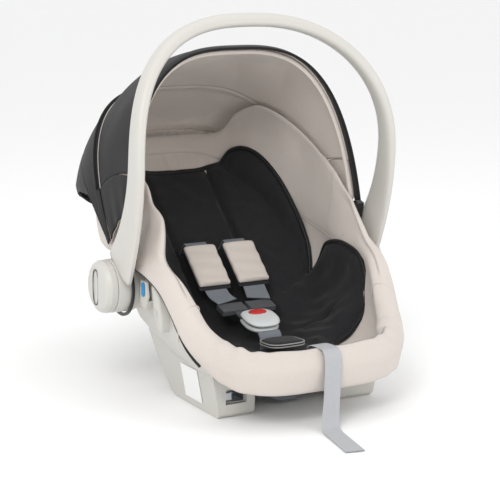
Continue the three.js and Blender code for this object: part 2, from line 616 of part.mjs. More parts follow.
// ---------------------------------------------------------------- handle and hubs
function handlePoint(across, rise) {
  const bow = 4 * HANDLE.bow * (rise / HANDLE.bowLength) * (1 - rise / HANDLE.bowLength);
  return new THREE.Vector3(across, PIVOT.y - rise * HANDLE.lean - bow, PIVOT.z + rise - bow * HANDLE.lean);
}
const LEG_STEPS = 6;
const ARCH_STEPS = 22;
const legRises = Array.from({ length: LEG_STEPS }, (_, i) => HANDLE.leg * i / LEG_STEPS);
const archAngles = Array.from({ length: ARCH_STEPS + 1 }, (_, i) => Math.PI * i / ARCH_STEPS);
const round = 2 / HANDLE.power;
const handlePath = [
  ...legRises.map((rise) => handlePoint(HANDLE.halfSpan, rise)),
  ...archAngles.map((angle) => handlePoint(HANDLE.halfSpan * signedPower(Math.cos(angle), round),
    HANDLE.leg + HANDLE.arch * Math.sin(angle) ** round)),
  ...legRises.toReversed().map((rise) => handlePoint(-HANDLE.halfSpan, rise))];
const towardsTop = (t) => Math.sin(Math.PI * t);
const arms = blade(handlePath, new THREE.Vector3(0, 1, 0), (t) => mix(13.5, 36, (1 - towardsTop(t)) ** 2.2),
  (t) => mix(7.2, 10, towardsTop(t) ** 2), 10);
const hubBody = (side) => join(pivotRing(HUB.radius, 0, HUB.face, HUB.cap - GAP, side));
const hubCavity = (side) => join(pivotRing(30, 0, HUB.cavity, HUB.cap + 5, side),
  pivotRing(6.3, 0, 180, HUB.cavity + 1, side, 16));
place('carry_handle', cut(join(arms, hubBody(-1), hubBody(1)), hubCavity(-1), hubCavity(1)), PLASTIC);

const buttonStadium = (width, height, x0, x1, side) => {
  const geometry = slotPlate(height, width, x1 - x0, 'x');
  geometry.translate(side * (x0 + x1) / 2, PIVOT.y, PIVOT.z);
  return geometry;
};
bothSides('hub_cap', PLASTIC, (side) => {
  const dome = turned([[0, HUB.cap], [39.6, HUB.cap], [39.6, 232], [37, 238], [31, 241.5], [18, HUB.crest],
    [0, HUB.crest]], side);
  return cut(dome, pivotRing(33, 0, HUB.cap - 5, 236, side), buttonStadium(BUTTON.width + 1.4, BUTTON.height + 1.4,
    230, 250, side));
});
bothSides('hub_button', PLASTIC, (side) => join(
  buttonStadium(BUTTON.width, BUTTON.height, 229, 241.5, side),
  turned([[11.5, 207.4], [15, 207.4], [15, 230], [11.5, 230], [11.5, 207.4]], side, 20)));
bothSides('lock_gear', DARK_PLASTIC, (side) => {
  const teeth = 10;
  const outline = Array.from({ length: teeth * 4 }, (_, i) => {
    const angle = i / (teeth * 4) * 2 * Math.PI;
    const r = i % 4 < 2 ? 27 : 22;
    return [PIVOT.y + r * Math.cos(angle), PIVOT.z + r * Math.sin(angle)];
  });
  return cut(sidePlate(outline, side * 199, side * 207), pivotRing(11, 0, 190, 215, side, 20));
});
bothSides('pivot_bolt', STEEL, (side) => turned([[0, 178.8], [5.4, 178.8], [5.4, 192.5], [9, 192.5], [9, 196.6],
  [0, 196.6]], side, 20));
bothSides('hub_spring', STEEL, (side) => {
  const turns = 4;
  const start = 197.6;
  const length = 30.6;
  const path = new THREE.CatmullRomCurve3(Array.from({ length: turns * 6 + 1 }, (_, i) => {
    const angle = i / 6 * 2 * Math.PI;
    return new THREE.Vector3(side * (start + length * i / (turns * 6)), PIVOT.y + 8.6 * Math.cos(angle),
      PIVOT.z + 8.6 * Math.sin(angle));
  }));
  const wire = new THREE.Shape();
  wire.absarc(0, 0, 0.8, 0, 2 * Math.PI);
  return clean(new THREE.ExtrudeGeometry(wire, { steps: turns * 6, extrudePath: path, curveSegments: 2,
    bevelEnabled: false }));
});

// ---------------------------------------------------------------- canopy
// Point on a canopy surface: an angle back from upright about the pivot axis, and `across` from
// -1 to 1, which runs from one side edge over the top to the other.
function canopyPoint(degrees, across, radius, halfWidth) {
  const r2 = 2 / CANOPY.power;
  const reach = radius * Math.max(0, Math.cos(across * Math.PI / 2)) ** r2;
  const angle = degrees * Math.PI / 180;
  return [halfWidth * signedPower(Math.sin(across * Math.PI / 2), r2),
    PIVOT.y + reach * Math.sin(angle), PIVOT.z + reach * Math.cos(angle)];
}
const acrossAt = (share) => Math.acos(share ** (CANOPY.power / 2)) * 2 / Math.PI;
const reachAt = (across, radius) => radius * Math.cos(across * Math.PI / 2) ** (2 / CANOPY.power);
// The front bow lies in a plane that leans back and passes a little ahead of the pivot.
const bowDegrees = (reach) => (CANOPY.bowLean - Math.asin(CANOPY.bowOffset / reach)) * 180 / Math.PI;
const shift = (mm, reach) => mm / reach * 180 / Math.PI;

const frontEdge = acrossAt(FRONT_PANEL.lowRadius / FRONT_PANEL.radius);
function frontSheet(inset, sideInset) {
  return (u, v) => {
    const across = mix(-frontEdge, frontEdge, u);
    const reach = reachAt(across, FRONT_PANEL.radius);
    const degrees = mix(bowDegrees(reach), FRONT_PANEL.end, v);
    return canopyPoint(degrees, across, FRONT_PANEL.radius - inset, FRONT_PANEL.halfWidth - sideInset);
  };
}
place('canopy_front_panel', sheetSolid(frontSheet(0, 0), frontSheet(2.4, 2), 22, 4), CANOPY_FABRIC);

const rearEdge = acrossAt(REAR_PANEL.lowRadius / REAR_PANEL.radius);
function rearSheet(inset, sideInset) {
  return (u, v) => {
    const across = mix(-rearEdge, rearEdge, u);
    const back = Math.min(1, v / REAR_PANEL.hemFrom);
    const turnIn = clamp01((v - REAR_PANEL.hemFrom) / (1 - REAR_PANEL.hemFrom));
    const radius = mix(REAR_PANEL.radius, REAR_PANEL.rearRadius, back) * (1 - REAR_PANEL.hemTurn * turnIn) - inset;
    const degrees = mix(REAR_PANEL.start, REAR_PANEL.end, back) + (2 - inset) * Math.sin(Math.PI * turnIn / 2);
    return canopyPoint(degrees, across, radius, REAR_PANEL.halfWidth - sideInset);
  };
}
place('canopy_rear_panel', sheetSolid(rearSheet(0, 0), rearSheet(2.5, 1.9), 22, 6), CANOPY_FABRIC);

// Lower side pieces of the canopy, which crumple as the front bow folds back.
bothSides('canopy_side', CANOPY_FABRIC, (side) => {
  const top = acrossAt((FRONT_PANEL.lowRadius - 2) / FRONT_PANEL.radius);
  const sheet = (inset, sideInset) => (u, v) => {
    const degreesEnd = 47;
    const startReach = 106;
    const low = startReach + 44 * v ** 3;
    const reachWanted = mix(FRONT_PANEL.lowRadius - 2, low, u);
    const across = u === 0 ? top : acrossAt(reachWanted / FRONT_PANEL.radius);
    const degrees = mix(bowDegrees(reachWanted), degreesEnd, v);
    return canopyPoint(degrees, side * across, FRONT_PANEL.radius - inset, FRONT_PANEL.halfWidth - sideInset);
  };
  return sheetSolid(sheet(0, 0), sheet(1.2, 1.6), 3, 6);
});

// Bows and the bound front edge.
function bowPath(radius, halfWidth, lowReach, steps, degreesAt) {
  const edge = acrossAt(lowReach / radius);
  return Array.from({ length: steps + 1 }, (_, i) => {
    const across = mix(-edge, edge, i / steps);
    const reach = reachAt(across, radius);
    return new THREE.Vector3(...canopyPoint(degreesAt(reach), across, radius, halfWidth));
  });
}
const acrossSeat = new THREE.Vector3(0, 1, 0.2).normalize();
place('canopy_front_bow', blade(bowPath(337.5, 189.5, 103.4, 26, (reach) => bowDegrees(reach) + shift(4, reach)),
  acrossSeat, () => 3.5, () => 3.5, 6, 2), STEEL);
place('canopy_binding', blade(bowPath(344.6, 195.4, 106, 26, (reach) => bowDegrees(reach) - shift(8, reach)),
  acrossSeat, () => 6, () => 2.2, 6, 3), BLACK_FABRIC);
place('canopy_mid_bow', blade(bowPath(352, 200, 166, 22, () => 39.4), new THREE.Vector3(0, 0.6, -0.8),
  () => 2.4, () => 2.4, 6, 2), STEEL);

// Pivot rings round the hubs, each with an arm and a clip that holds the end of the front bow.
bothSides('canopy_clip', DARK_PLASTIC, (side) => {
  const ring = pivotRing(47, 42.4, 199.8, 203.4, side, 32);
  const lean = bowDegrees(94) * Math.PI / 180;
  const armBlock = new THREE.BoxGeometry(3.6, 12, 60);
  armBlock.translate(side * 201.6, 0, 73);
  const head = new THREE.BoxGeometry(20, 12, 16);
  head.translate(side * 193.4, 0, 94.4);
  const both = join(armBlock, head);
  both.rotateX(-lean);
  both.translate(0, PIVOT.y, PIVOT.z);
  return join(ring, both);
});

export default seat;
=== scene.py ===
import json
from math import atan, cos, radians, sin

import bmesh
import bpy
import numpy as np
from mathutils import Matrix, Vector

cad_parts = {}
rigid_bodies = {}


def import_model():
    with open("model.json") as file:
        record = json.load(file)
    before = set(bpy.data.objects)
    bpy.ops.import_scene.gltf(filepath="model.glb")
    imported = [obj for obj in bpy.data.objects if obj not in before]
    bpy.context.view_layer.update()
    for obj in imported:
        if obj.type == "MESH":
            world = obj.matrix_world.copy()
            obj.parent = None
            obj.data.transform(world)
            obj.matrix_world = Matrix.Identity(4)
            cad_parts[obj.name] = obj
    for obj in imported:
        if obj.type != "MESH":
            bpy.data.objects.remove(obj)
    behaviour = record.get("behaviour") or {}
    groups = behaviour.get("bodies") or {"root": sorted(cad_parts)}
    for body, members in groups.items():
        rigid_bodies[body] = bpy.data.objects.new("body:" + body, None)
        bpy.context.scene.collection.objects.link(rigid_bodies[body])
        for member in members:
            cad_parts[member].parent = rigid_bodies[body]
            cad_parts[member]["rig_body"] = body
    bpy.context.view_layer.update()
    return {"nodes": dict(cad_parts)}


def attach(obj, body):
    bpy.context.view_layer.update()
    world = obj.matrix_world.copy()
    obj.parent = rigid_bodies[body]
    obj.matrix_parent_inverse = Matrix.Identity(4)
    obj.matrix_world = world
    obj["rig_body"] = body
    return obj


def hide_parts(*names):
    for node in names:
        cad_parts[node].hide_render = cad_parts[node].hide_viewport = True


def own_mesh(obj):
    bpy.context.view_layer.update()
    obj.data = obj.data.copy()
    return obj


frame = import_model()
bodies_of = {name: node["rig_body"] for name, node in frame["nodes"].items()}


# ---- Camera: a long lens, a little above the rim, looking over the left front corner.

lens = bpy.data.cameras.new("camera")
lens.lens = 111.55
lens.sensor_width = 36
lens.shift_x = 0.0072
lens.shift_y = -0.0542
lens.clip_end = 30
camera = bpy.data.objects.new("camera", lens)
camera.location = (-1.1163, -2.1155, 0.6612)
looks_at = Vector((0, -0.068, 0.25))
camera.rotation_euler = (looks_at - camera.location).to_track_quat("-Z", "Y").to_euler()
bpy.context.collection.objects.link(camera)
bpy.context.scene.camera = camera
bpy.context.scene.view_settings.view_transform = "Standard"


# ---- Floor and light: a plain white studio floor under a white sky, one wide soft lamp on the
# left, a weaker one at the front right and one overhead.

def plain_material(name, colour, roughness):
    """One Principled shader with a fixed colour and roughness."""
    material = bpy.data.materials.new(name)
    material.use_nodes = True
    shader = material.node_tree.nodes["Principled BSDF"]
    shader.inputs["Base Color"].default_value = (*colour, 1)
    shader.inputs["Roughness"].default_value = roughness
    return material


def soft_lamp(name, place, size, watts):
    """A square area lamp that faces the middle of the seat."""
    lamp = bpy.data.lights.new(name, "AREA")
    lamp.energy = watts
    lamp.size = size
    thing = bpy.data.objects.new(name, lamp)
    thing.location = place
    thing.rotation_euler = (Vector((0, 0, 0.25)) - thing.location).to_track_quat("-Z", "Y").to_euler()
    bpy.context.collection.objects.link(thing)


floor_mesh = bpy.data.meshes.new("studio_floor")
floor_mesh.from_pydata([(-60, -60, 0), (60, -60, 0), (60, 60, 0), (-60, 60, 0)], [], [(0, 1, 2, 3)])
floor = bpy.data.objects.new("studio_floor", floor_mesh)
floor.location.z = -0.0006
floor_mesh.materials.append(plain_material("floor_white", (0.93, 0.93, 0.93), 0.7))
bpy.context.collection.objects.link(floor)

sky = bpy.data.worlds.new("studio_white")
sky.use_nodes = True
sky.node_tree.nodes["Background"].inputs["Color"].default_value = (1, 1, 1, 1)
sky.node_tree.nodes["Background"].inputs["Strength"].default_value = 0.97
bpy.context.scene.world = sky
soft_lamp("key_lamp", (-1.5, -1.7, 2.0), 1.0, 24)
soft_lamp("front_lamp", (1.6, -2.4, 1.2), 1.6, 10)
soft_lamp("top_lamp", (0.2, 0.4, 2.6), 1.8, 6)


# ---- Adjuster strap: one free tail of pale woven webbing, 28 mm wide, pulled to tighten the
# harness. It comes out of the bezel, goes over the front rim and ends loose on the floor.

def smooth_path(points, steps):
    """A Catmull-Rom curve through the points, cut into equal lengths."""
    p = np.array(points, float)
    p = np.vstack([2 * p[0] - p[1], p, 2 * p[-1] - p[-2]])
    s = np.linspace(0, 1, 24, endpoint=False)[:, None]
    parts = []
    for a, b, c, d in zip(p[:-3], p[1:-2], p[2:-1], p[3:]):
        parts.append(0.5 * (2 * b + (c - a) * s + (2 * a - 5 * b + 4 * c - d) * s ** 2
                            + (3 * b - a - 3 * c + d) * s ** 3))
    fine = np.vstack([*parts, p[-2:-1]])
    gone = np.concatenate([[0], np.cumsum(np.linalg.norm(np.diff(fine, axis=0), axis=1))])
    even = np.linspace(0, gone[-1], steps)
    return np.stack([np.interp(even, gone, fine[:, k]) for k in range(3)], axis=1)


def unit(v):
    """Each vector of an array, made one long."""
    return v / np.maximum(np.linalg.norm(v, axis=-1, keepdims=True), 1e-12)


def surface(name, points, around=False, faces_in=False, closed_ends=False):
    """Quads between the neighbours in a grid of points (rows, columns, 3), with a UV map in metres
    that runs along the rows and up the columns. around joins the last column to the first."""
    rows, columns = points.shape[:2]
    index = np.arange(rows * columns).reshape(rows, columns)
    right = np.roll(index, -1, axis=1) if around else index[:, 1:]
    left = index if around else index[:, :-1]
    quads = np.stack([left[:-1], right[:-1], right[1:], left[1:]], axis=-1).reshape(-1, 4)
    if faces_in:
        quads = quads[:, ::-1]
    faces = quads.tolist()
    if closed_ends:
        first = index[0].tolist()
        last = index[-1].tolist()
        faces += [first, last[::-1]] if faces_in else [first[::-1], last]
    mesh = bpy.data.meshes.new(name)
    mesh.from_pydata(points.reshape(-1, 3).tolist(), [], faces)
    u_step = np.linalg.norm(np.diff(points, axis=1), axis=2).mean(axis=0)
    v_step = np.linalg.norm(np.diff(points, axis=0), axis=2).mean(axis=1)
    u = np.concatenate([[0], np.cumsum(u_step)])
    v = np.concatenate([[0], np.cumsum(v_step)])
    across, along = np.meshgrid(u, v)
    flat = np.stack([across, along], axis=-1).reshape(-1, 2)
    corners = np.empty(len(mesh.loops), np.int32)
    mesh.loops.foreach_get("vertex_index", corners)
    mesh.uv_layers.new(name="UVMap").data.foreach_set("uv", flat[corners].ravel())
    mesh.shade_smooth()
    mesh.validate()
    thing = bpy.data.objects.new(name, mesh)
    bpy.context.collection.objects.link(thing)
    return thing


def squared_off(wave, power):
    """A sine or cosine with its size raised to a power and its sign kept, so that a circle drawn
    with it becomes a superellipse."""
    return np.sign(wave) * np.abs(wave) ** power


def ribbon(name, path, lay, width, thick, edge=0.0, sides=20):
    """A closed strip along the path. lay is the direction of its width, and edge is how much thicker
    its selvedges are. Its section is a superellipse of power 4: flat sides and round edges."""
    along = unit(np.gradient(path, axis=0))
    side = unit(lay - (lay * along).sum(-1, keepdims=True) * along)
    up = np.cross(along, side)
    angle = np.linspace(0, 2 * np.pi, sides, endpoint=False)
    wide = squared_off(np.cos(angle), 0.5) * width / 2
    high = squared_off(np.sin(angle), 0.5) * thick / 2
    high = high * (1 + edge * (np.abs(np.cos(angle)) > 0.8))
    sections = path[:, None] + side[:, None] * wide[None, :, None] + up[:, None] * high[None, :, None]
    return surface(name, sections, around=True, closed_ends=True)


def shader_group(name, inputs, outputs):
    """An empty shader node group with named sockets, and its input and output nodes."""
    group = bpy.data.node_groups.new(name, "ShaderNodeTree")
    for label, kind, value in inputs:
        socket = group.interface.new_socket(name=label, in_out="INPUT", socket_type=kind)
        if value is not None:
            socket.default_value = value
    for label, kind in outputs:
        group.interface.new_socket(name=label, in_out="OUTPUT", socket_type=kind)
    return group, group.nodes.new("NodeGroupInput"), group.nodes.new("NodeGroupOutput")


def math_node(tree, operation, first, second=None):
    """A Math node on two values, each a socket or a number."""
    node = tree.nodes.new("ShaderNodeMath")
    node.operation = operation
    for place, value in zip(node.inputs, (first, second)):
        if isinstance(value, (int, float)):
            place.default_value = value
        elif value is not None:
            tree.links.new(value, place)
    return node.outputs[0]


def noise(tree, vector, scale, detail=2.0, rough=0.5):
    """The value of a Noise texture on the given coordinates."""
    node = tree.nodes.new("ShaderNodeTexNoise")
    node.inputs["Scale"].default_value = scale
    node.inputs["Detail"].default_value = detail
    node.inputs["Roughness"].default_value = rough
    tree.links.new(vector, node.inputs["Vector"])
    return node.outputs["Fac"]


# Plain weave: warp and weft are two rows of round threads, and each shows where its own sine is
# higher than the other's. Slub noise makes some threads paler, and a wide noise is the fading.
weave, weave_in, weave_out = shader_group(
    "woven_cloth",
    [("Vector", "NodeSocketVector", None), ("Place", "NodeSocketVector", None),
     ("Pitch", "NodeSocketFloat", 1000.0)],
    [("Height", "NodeSocketFloat"), ("Shade", "NodeSocketFloat"), ("Fade", "NodeSocketFloat")])
scaled = weave.nodes.new("ShaderNodeVectorMath")
scaled.operation = "SCALE"
weave.links.new(weave_in.outputs["Vector"], scaled.inputs[0])
weave.links.new(weave_in.outputs["Pitch"], scaled.inputs["Scale"])
threads = weave.nodes.new("ShaderNodeSeparateXYZ")
weave.links.new(scaled.outputs[0], threads.inputs[0])
warp = math_node(weave, "SINE", threads.outputs["X"])
weft = math_node(weave, "SINE", threads.outputs["Y"])
crossing = math_node(weave, "MULTIPLY", warp, weft)
slub = noise(weave, weave_in.outputs["Place"], 420.0, 2.0, 0.7)
lift = math_node(weave, "MULTIPLY_ADD", crossing, 0.25)
weave.links.new(slub, lift.node.inputs[2])
weave.links.new(lift, weave_out.inputs["Height"])
weave.links.new(slub, weave_out.inputs["Shade"])
weave.links.new(noise(weave, weave_in.outputs["Place"], 9.0, 3.0), weave_out.inputs["Fade"])


def cloth(name, light, dark, pitch=1500.0, rough=0.85, sheen=0.2, depth=0.0005, creases=0.0,
          crease_scale=22.0):
    """Woven cloth between a light and a dark tone. The weave follows the UV map, fine slubs and wide
    fading follow the place on the piece, and creases is the height of the soft wrinkles."""
    material = bpy.data.materials.new(name)
    material.use_nodes = True
    tree = material.node_tree
    shader = tree.nodes["Principled BSDF"]
    shader.inputs["Sheen Weight"].default_value = sheen
    shader.inputs["Sheen Roughness"].default_value = 0.5
    shader.inputs["Specular IOR Level"].default_value = 0.25
    where = tree.nodes.new("ShaderNodeTexCoord")
    pattern = tree.nodes.new("ShaderNodeGroup")
    pattern.node_tree = weave
    pattern.inputs["Pitch"].default_value = pitch
    tree.links.new(where.outputs["UV"], pattern.inputs["Vector"])
    tree.links.new(where.outputs["Object"], pattern.inputs["Place"])
    mix = tree.nodes.new("ShaderNodeMix")
    mix.data_type = "RGBA"
    mix.inputs[6].default_value = (*dark, 1)
    mix.inputs[7].default_value = (*light, 1)
    worn = math_node(tree, "ADD", pattern.outputs["Shade"], pattern.outputs["Fade"])
    tree.links.new(math_node(tree, "MULTIPLY", worn, 0.5), mix.inputs[0])
    tree.links.new(mix.outputs[2], shader.inputs["Base Color"])
    tree.links.new(math_node(tree, "MULTIPLY_ADD", pattern.outputs["Shade"], 0.15),
                   shader.inputs["Roughness"])
    shader.inputs["Roughness"].links[0].from_node.inputs[2].default_value = rough - 0.08
    bump = tree.nodes.new("ShaderNodeBump")
    bump.inputs["Distance"].default_value = depth
    bump.inputs["Strength"].default_value = 0.6
    tree.links.new(pattern.outputs["Height"], bump.inputs["Height"])
    tree.links.new(bump.outputs[0], shader.inputs["Normal"])
    if creases:
        folds = tree.nodes.new("ShaderNodeBump")
        folds.inputs["Distance"].default_value = creases
        folds.inputs["Strength"].default_value = 1.0
        wrinkle = noise(tree, where.outputs["Object"], crease_scale, 1.5, 0.4)
        tree.links.new(wrinkle, folds.inputs["Height"])
        tree.links.new(folds.outputs[0], bump.inputs["Normal"])
    return material


def place(piece, material, body, slot, *nodes):
    """Gives a finished piece its material, its body and the solids it stands for, which it hides. The slot
    is not used.
    """
    piece.data.materials.clear()
    piece.data.materials.append(material)
    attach(piece, body)
    if nodes:
        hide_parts(*nodes)
    return piece


pull_route = [(0, -0.2725, 0.099), (0, -0.275, 0.1045), (0, -0.284, 0.1075), (0, -0.296, 0.1085),
              (0, -0.308, 0.1085), (-0.001, -0.318, 0.107), (-0.002, -0.325, 0.099),
              (-0.003, -0.328, 0.084), (-0.005, -0.330, 0.064), (-0.007, -0.332, 0.044),
              (-0.010, -0.335, 0.026), (-0.014, -0.340, 0.012), (-0.018, -0.349, 0.004),
              (-0.022, -0.362, 0.0016), (-0.026, -0.382, 0.0014), (-0.030, -0.402, 0.0014),
              (-0.034, -0.422, 0.0014), (-0.038, -0.442, 0.0014)]
pull_path = smooth_path(pull_route, 120)
pull_cloth = cloth("pull_webbing", (0.50, 0.51, 0.53), (0.34, 0.35, 0.37), 2600.0, 0.5, 0.15, 0.0009)
pull_width = 0.028
pull_thick = 0.0017
pull_strap = ribbon("pull_strap", pull_path, np.array([[1.0, 0.05, 0]]), pull_width, pull_thick)
place(pull_strap, pull_cloth, "seat", "pull_webbing", "adjuster_strap")


# ---- Moulded plastic: the shell, rails, guides, hubs and small hard parts are one warm grey
# polypropylene with a fine spark-eroded grain and scattered scuffs that dull its gloss.

grain, grain_in, grain_out = shader_group(
    "moulded_grain",
    [("Place", "NodeSocketVector", None), ("Size", "NodeSocketFloat", 900.0)],
    [("Height", "NodeSocketFloat"), ("Shade", "NodeSocketFloat"), ("Scuff", "NodeSocketFloat")])
grain_scaled = grain.nodes.new("ShaderNodeVectorMath")
grain_scaled.operation = "SCALE"
grain.links.new(grain_in.outputs["Place"], grain_scaled.inputs[0])
grain.links.new(grain_in.outputs["Size"], grain_scaled.inputs["Scale"])
grain.links.new(noise(grain, grain_scaled.outputs[0], 1.0, 3.0, 0.6), grain_out.inputs["Height"])
grain.links.new(noise(grain, grain_in.outputs["Place"], 7.0, 2.0, 0.5), grain_out.inputs["Shade"])
scuffs = noise(grain, grain_in.outputs["Place"], 60.0, 5.0, 0.75)
grain.links.new(math_node(grain, "GREATER_THAN", scuffs, 0.66), grain_out.inputs["Scuff"])


def moulded(name, light, dark, rough=0.42, depth=0.00012, size=900.0, metal=0.0):
    """Grained plastic or metal: a slow change of tone, a fine bump, and scuffs that dull the gloss."""
    material = bpy.data.materials.new(name)
    material.use_nodes = True
    tree = material.node_tree
    shader = tree.nodes["Principled BSDF"]
    shader.inputs["Metallic"].default_value = metal
    where = tree.nodes.new("ShaderNodeTexCoord")
    pattern = tree.nodes.new("ShaderNodeGroup")
    pattern.node_tree = grain
    pattern.inputs["Size"].default_value = size
    tree.links.new(where.outputs["Object"], pattern.inputs["Place"])
    mix = tree.nodes.new("ShaderNodeMix")
    mix.data_type = "RGBA"
    mix.inputs[6].default_value = (*dark, 1)
    mix.inputs[7].default_value = (*light, 1)
    tree.links.new(pattern.outputs["Shade"], mix.inputs[0])
    tree.links.new(mix.outputs[2], shader.inputs["Base Color"])
    dull = math_node(tree, "MULTIPLY_ADD", pattern.outputs["Scuff"], 0.08)
    dull.node.inputs[2].default_value = rough
    tree.links.new(dull, shader.inputs["Roughness"])
    bump = tree.nodes.new("ShaderNodeBump")
    bump.inputs["Distance"].default_value = depth
    bump.inputs["Strength"].default_value = 0.5
    tree.links.new(pattern.outputs["Height"], bump.inputs["Height"])
    tree.links.new(bump.outputs[0], shader.inputs["Normal"])
    return material


greige = moulded("greige_plastic", (0.60, 0.585, 0.55), (0.545, 0.53, 0.49), 0.4)
dark_grey = moulded("dark_grey_plastic", (0.10, 0.105, 0.115), (0.07, 0.073, 0.08), 0.5)
foot_grey = moulded("foot_grey_plastic", (0.20, 0.215, 0.235), (0.15, 0.16, 0.175), 0.5)
black_plastic = moulded("black_plastic", (0.018, 0.018, 0.020), (0.012, 0.012, 0.013), 0.35)
pale_grey = moulded("pale_grey_plastic", (0.63, 0.66, 0.66), (0.56, 0.59, 0.59), 0.35)
button_red = moulded("button_red_plastic", (0.56, 0.022, 0.018), (0.47, 0.016, 0.014), 0.3)
guide_blue = moulded("guide_blue_plastic", (0.01, 0.26, 0.55), (0.01, 0.22, 0.48), 0.35)
label_white = moulded("label_paper", (0.88, 0.88, 0.87), (0.83, 0.83, 0.82), 0.5)
steel = moulded("plated_steel", (0.55, 0.56, 0.58), (0.45, 0.46, 0.48), 0.3, metal=0.9)
foam_white = moulded("bead_foam", (0.88, 0.88, 0.86), (0.80, 0.80, 0.78), 0.9, 0.0008, 250.0)


def finished(node, material, slot, edge=0.0008, angle=34.0):
    """A copy of a solid with its loose triangles merged, its curved faces smooth, its flat faces
    joined and its hard edges rounded by a narrow two-step bevel."""
    mesh = frame["nodes"][node].data.copy()
    work = bmesh.new()
    work.from_mesh(mesh)
    bmesh.ops.remove_doubles(work, verts=work.verts, dist=2e-5)
    bmesh.ops.dissolve_limit(work, angle_limit=radians(0.6), verts=work.verts, edges=work.edges)
    work.to_mesh(mesh)
    work.free()
    mesh.shade_smooth()
    mesh.set_sharp_from_angle(angle=radians(angle))
    piece = bpy.data.objects.new(node + "_finished", mesh)
    bpy.context.collection.objects.link(piece)
    if edge:
        rounded = piece.modifiers.new("rounded_edges", "BEVEL")
        rounded.width = edge
        rounded.segments = 2
        rounded.limit_method = "ANGLE"
        rounded.angle_limit = radians(angle)
        rounded.harden_normals = True
    return place(piece, material, bodies_of[node], slot, node)


for side in ("left", "right"):
    finished("latch_socket_" + side, steel, "steel")
    finished("hub_cap_" + side, greige, "shell_plastic")
    finished("hub_button_" + side, greige, "shell_plastic", 0.001)
    finished("lock_gear_" + side, dark_grey, "dark_plastic", 0.0004)
    finished("pivot_bolt_" + side, steel, "steel", 0.0004)
    spring = finished("hub_spring_" + side, steel, "steel", 0)
    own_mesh(spring)
    finished("belt_guide_" + side, greige, "guide_blue", 0.001)
    finished("tongue_" + side, dark_grey, "dark_plastic", 0.0006)
    finished("canopy_clip_" + side, black_plastic, "dark_plastic", 0.0006)
finished("shell", greige, "shell_plastic", 0.0012)
finished("keel_foot", foot_grey, "dark_plastic", 0.0012)
finished("label", label_white, "label_white", 0.0003)
finished("splitter_plate", steel, "steel", 0.0005)
finished("strap_anchor", steel, "steel", 0.0005)
finished("adjuster_body", dark_grey, "dark_plastic", 0.0006)
finished("adjuster_lever", dark_grey, "dark_plastic", 0.0005)
finished("adjuster_pin", steel, "steel", 0.0002)
finished("foam_liner", foam_white, "foam", 0)


# ---- Cover: one sewn piece of cream polyester over thin wadding. It lines the bucket, rolls over
# the rim as a stuffed edge, and its elastic hem hugs the outside of the shell.

pivot_y = -0.048
pivot_z = 0.171
half_width = 0.182
half_length = 0.268
middle_y = -0.038


def through(stations):
    """A smooth curve through (place, value) stations: cubic pieces whose slopes are the slopes
    between the neighbouring stations, and which stop at the first and last station."""
    x, y = np.array(stations, float).T
    slope = np.gradient(y, x)
    slope[1:-1] = (y[2:] - y[:-2]) / (x[2:] - x[:-2])

    def value(at):
        at = np.clip(at, x[0], x[-1])
        k = np.clip(np.searchsorted(x, at) - 1, 0, len(x) - 2)
        span = x[k + 1] - x[k]
        s = (at - x[k]) / span
        return (y[k] * (1 + 2 * s) * (1 - s) ** 2 + slope[k] * span * s * (1 - s) ** 2
                + y[k + 1] * s ** 2 * (3 - 2 * s) + slope[k + 1] * span * s ** 2 * (s - 1))
    return value


rim_height = through([(-0.306, 0.088), (-0.285, 0.092), (-0.250, 0.103), (-0.215, 0.126), (-0.190, 0.158),
                      (-0.165, 0.184), (-0.130, 0.200), (-0.088, 0.208), (-0.048, 0.212), (0.020, 0.225),
                      (0.080, 0.250), (0.150, 0.290), (0.205, 0.322), (0.230, 0.334)])
keel_height = through([(-0.306, 0.056), (-0.250, 0.046), (-0.180, 0.040), (-0.110, 0.040), (-0.060, 0.050),
                       (0.0, 0.092), (0.060, 0.146), (0.120, 0.200), (0.180, 0.254), (0.230, 0.297)])


def bucket(turn, t, depth):
    """The bucket's surface. Seen from above it is a superellipse of power 3.2 that narrows to the
    head, and each side climbs from the keel line to the rim line as a quarter of the same curve."""
    angle = 2 * np.pi * turn
    power = 2 / 3.2
    climb = t ** 1.6 * np.pi / 2
    reach = np.sin(climb) ** power
    rise = 1 - np.cos(climb) ** power
    across = squared_off(np.cos(angle), power)
    along = squared_off(np.sin(angle), power)
    y = middle_y + (half_length - depth) * reach * along
    rim_y = middle_y + (half_length - depth) * along
    taper = 1 - 0.24 * np.maximum(0, (y - middle_y) / half_length) ** 2
    x = (half_width - depth) * reach * across * taper
    step = 0.001
    steep = np.sqrt(1 + ((keel_height(y + step) - keel_height(y - step)) / (2 * step)) ** 2)
    steep_rim = np.sqrt(1 + ((keel_height(rim_y + step) - keel_height(rim_y - step)) / (2 * step)) ** 2)
    tall = np.maximum(0.0005, rim_height(rim_y) - keel_height(rim_y) - depth * steep_rim)
    return np.stack([x, y, keel_height(y) + depth * steep + tall * rise], axis=-1)


def ease(at, start, end):
    """Goes smoothly from 0 at start to 1 at end."""
    s = np.clip((at - start) / (end - start), 0, 1)
    return s * s * (3 - 2 * s)


def bell(at, middle, width):
    """A smooth bump of height 1."""
    return np.exp(-((at - middle) / width) ** 2)


def rim_section(turn, offsets, rises):
    """Points set out sideways and upwards from the shell's rim, in its outward direction there."""
    rim = bucket(turn, 1.0, 0.0)
    ahead = bucket(turn + 0.002, 1.0, 0.0) - bucket(turn - 0.002, 1.0, 0.0)
    out = unit(np.stack([ahead[..., 1], -ahead[..., 0]], axis=-1))
    x = rim[..., 0] + out[..., 0] * offsets
    y = rim[..., 1] + out[..., 1] * offsets
    return np.stack([x, y, rim_height(y) + rises], axis=-1)


hem_drop = through([(-0.325, 0.034), (-0.275, 0.030), (-0.250, 0.020), (-0.205, 0.009), (-0.160, 0.004),
                    (0.0, 0.004), (0.040, 0.018), (0.110, 0.040), (0.235, 0.042)])


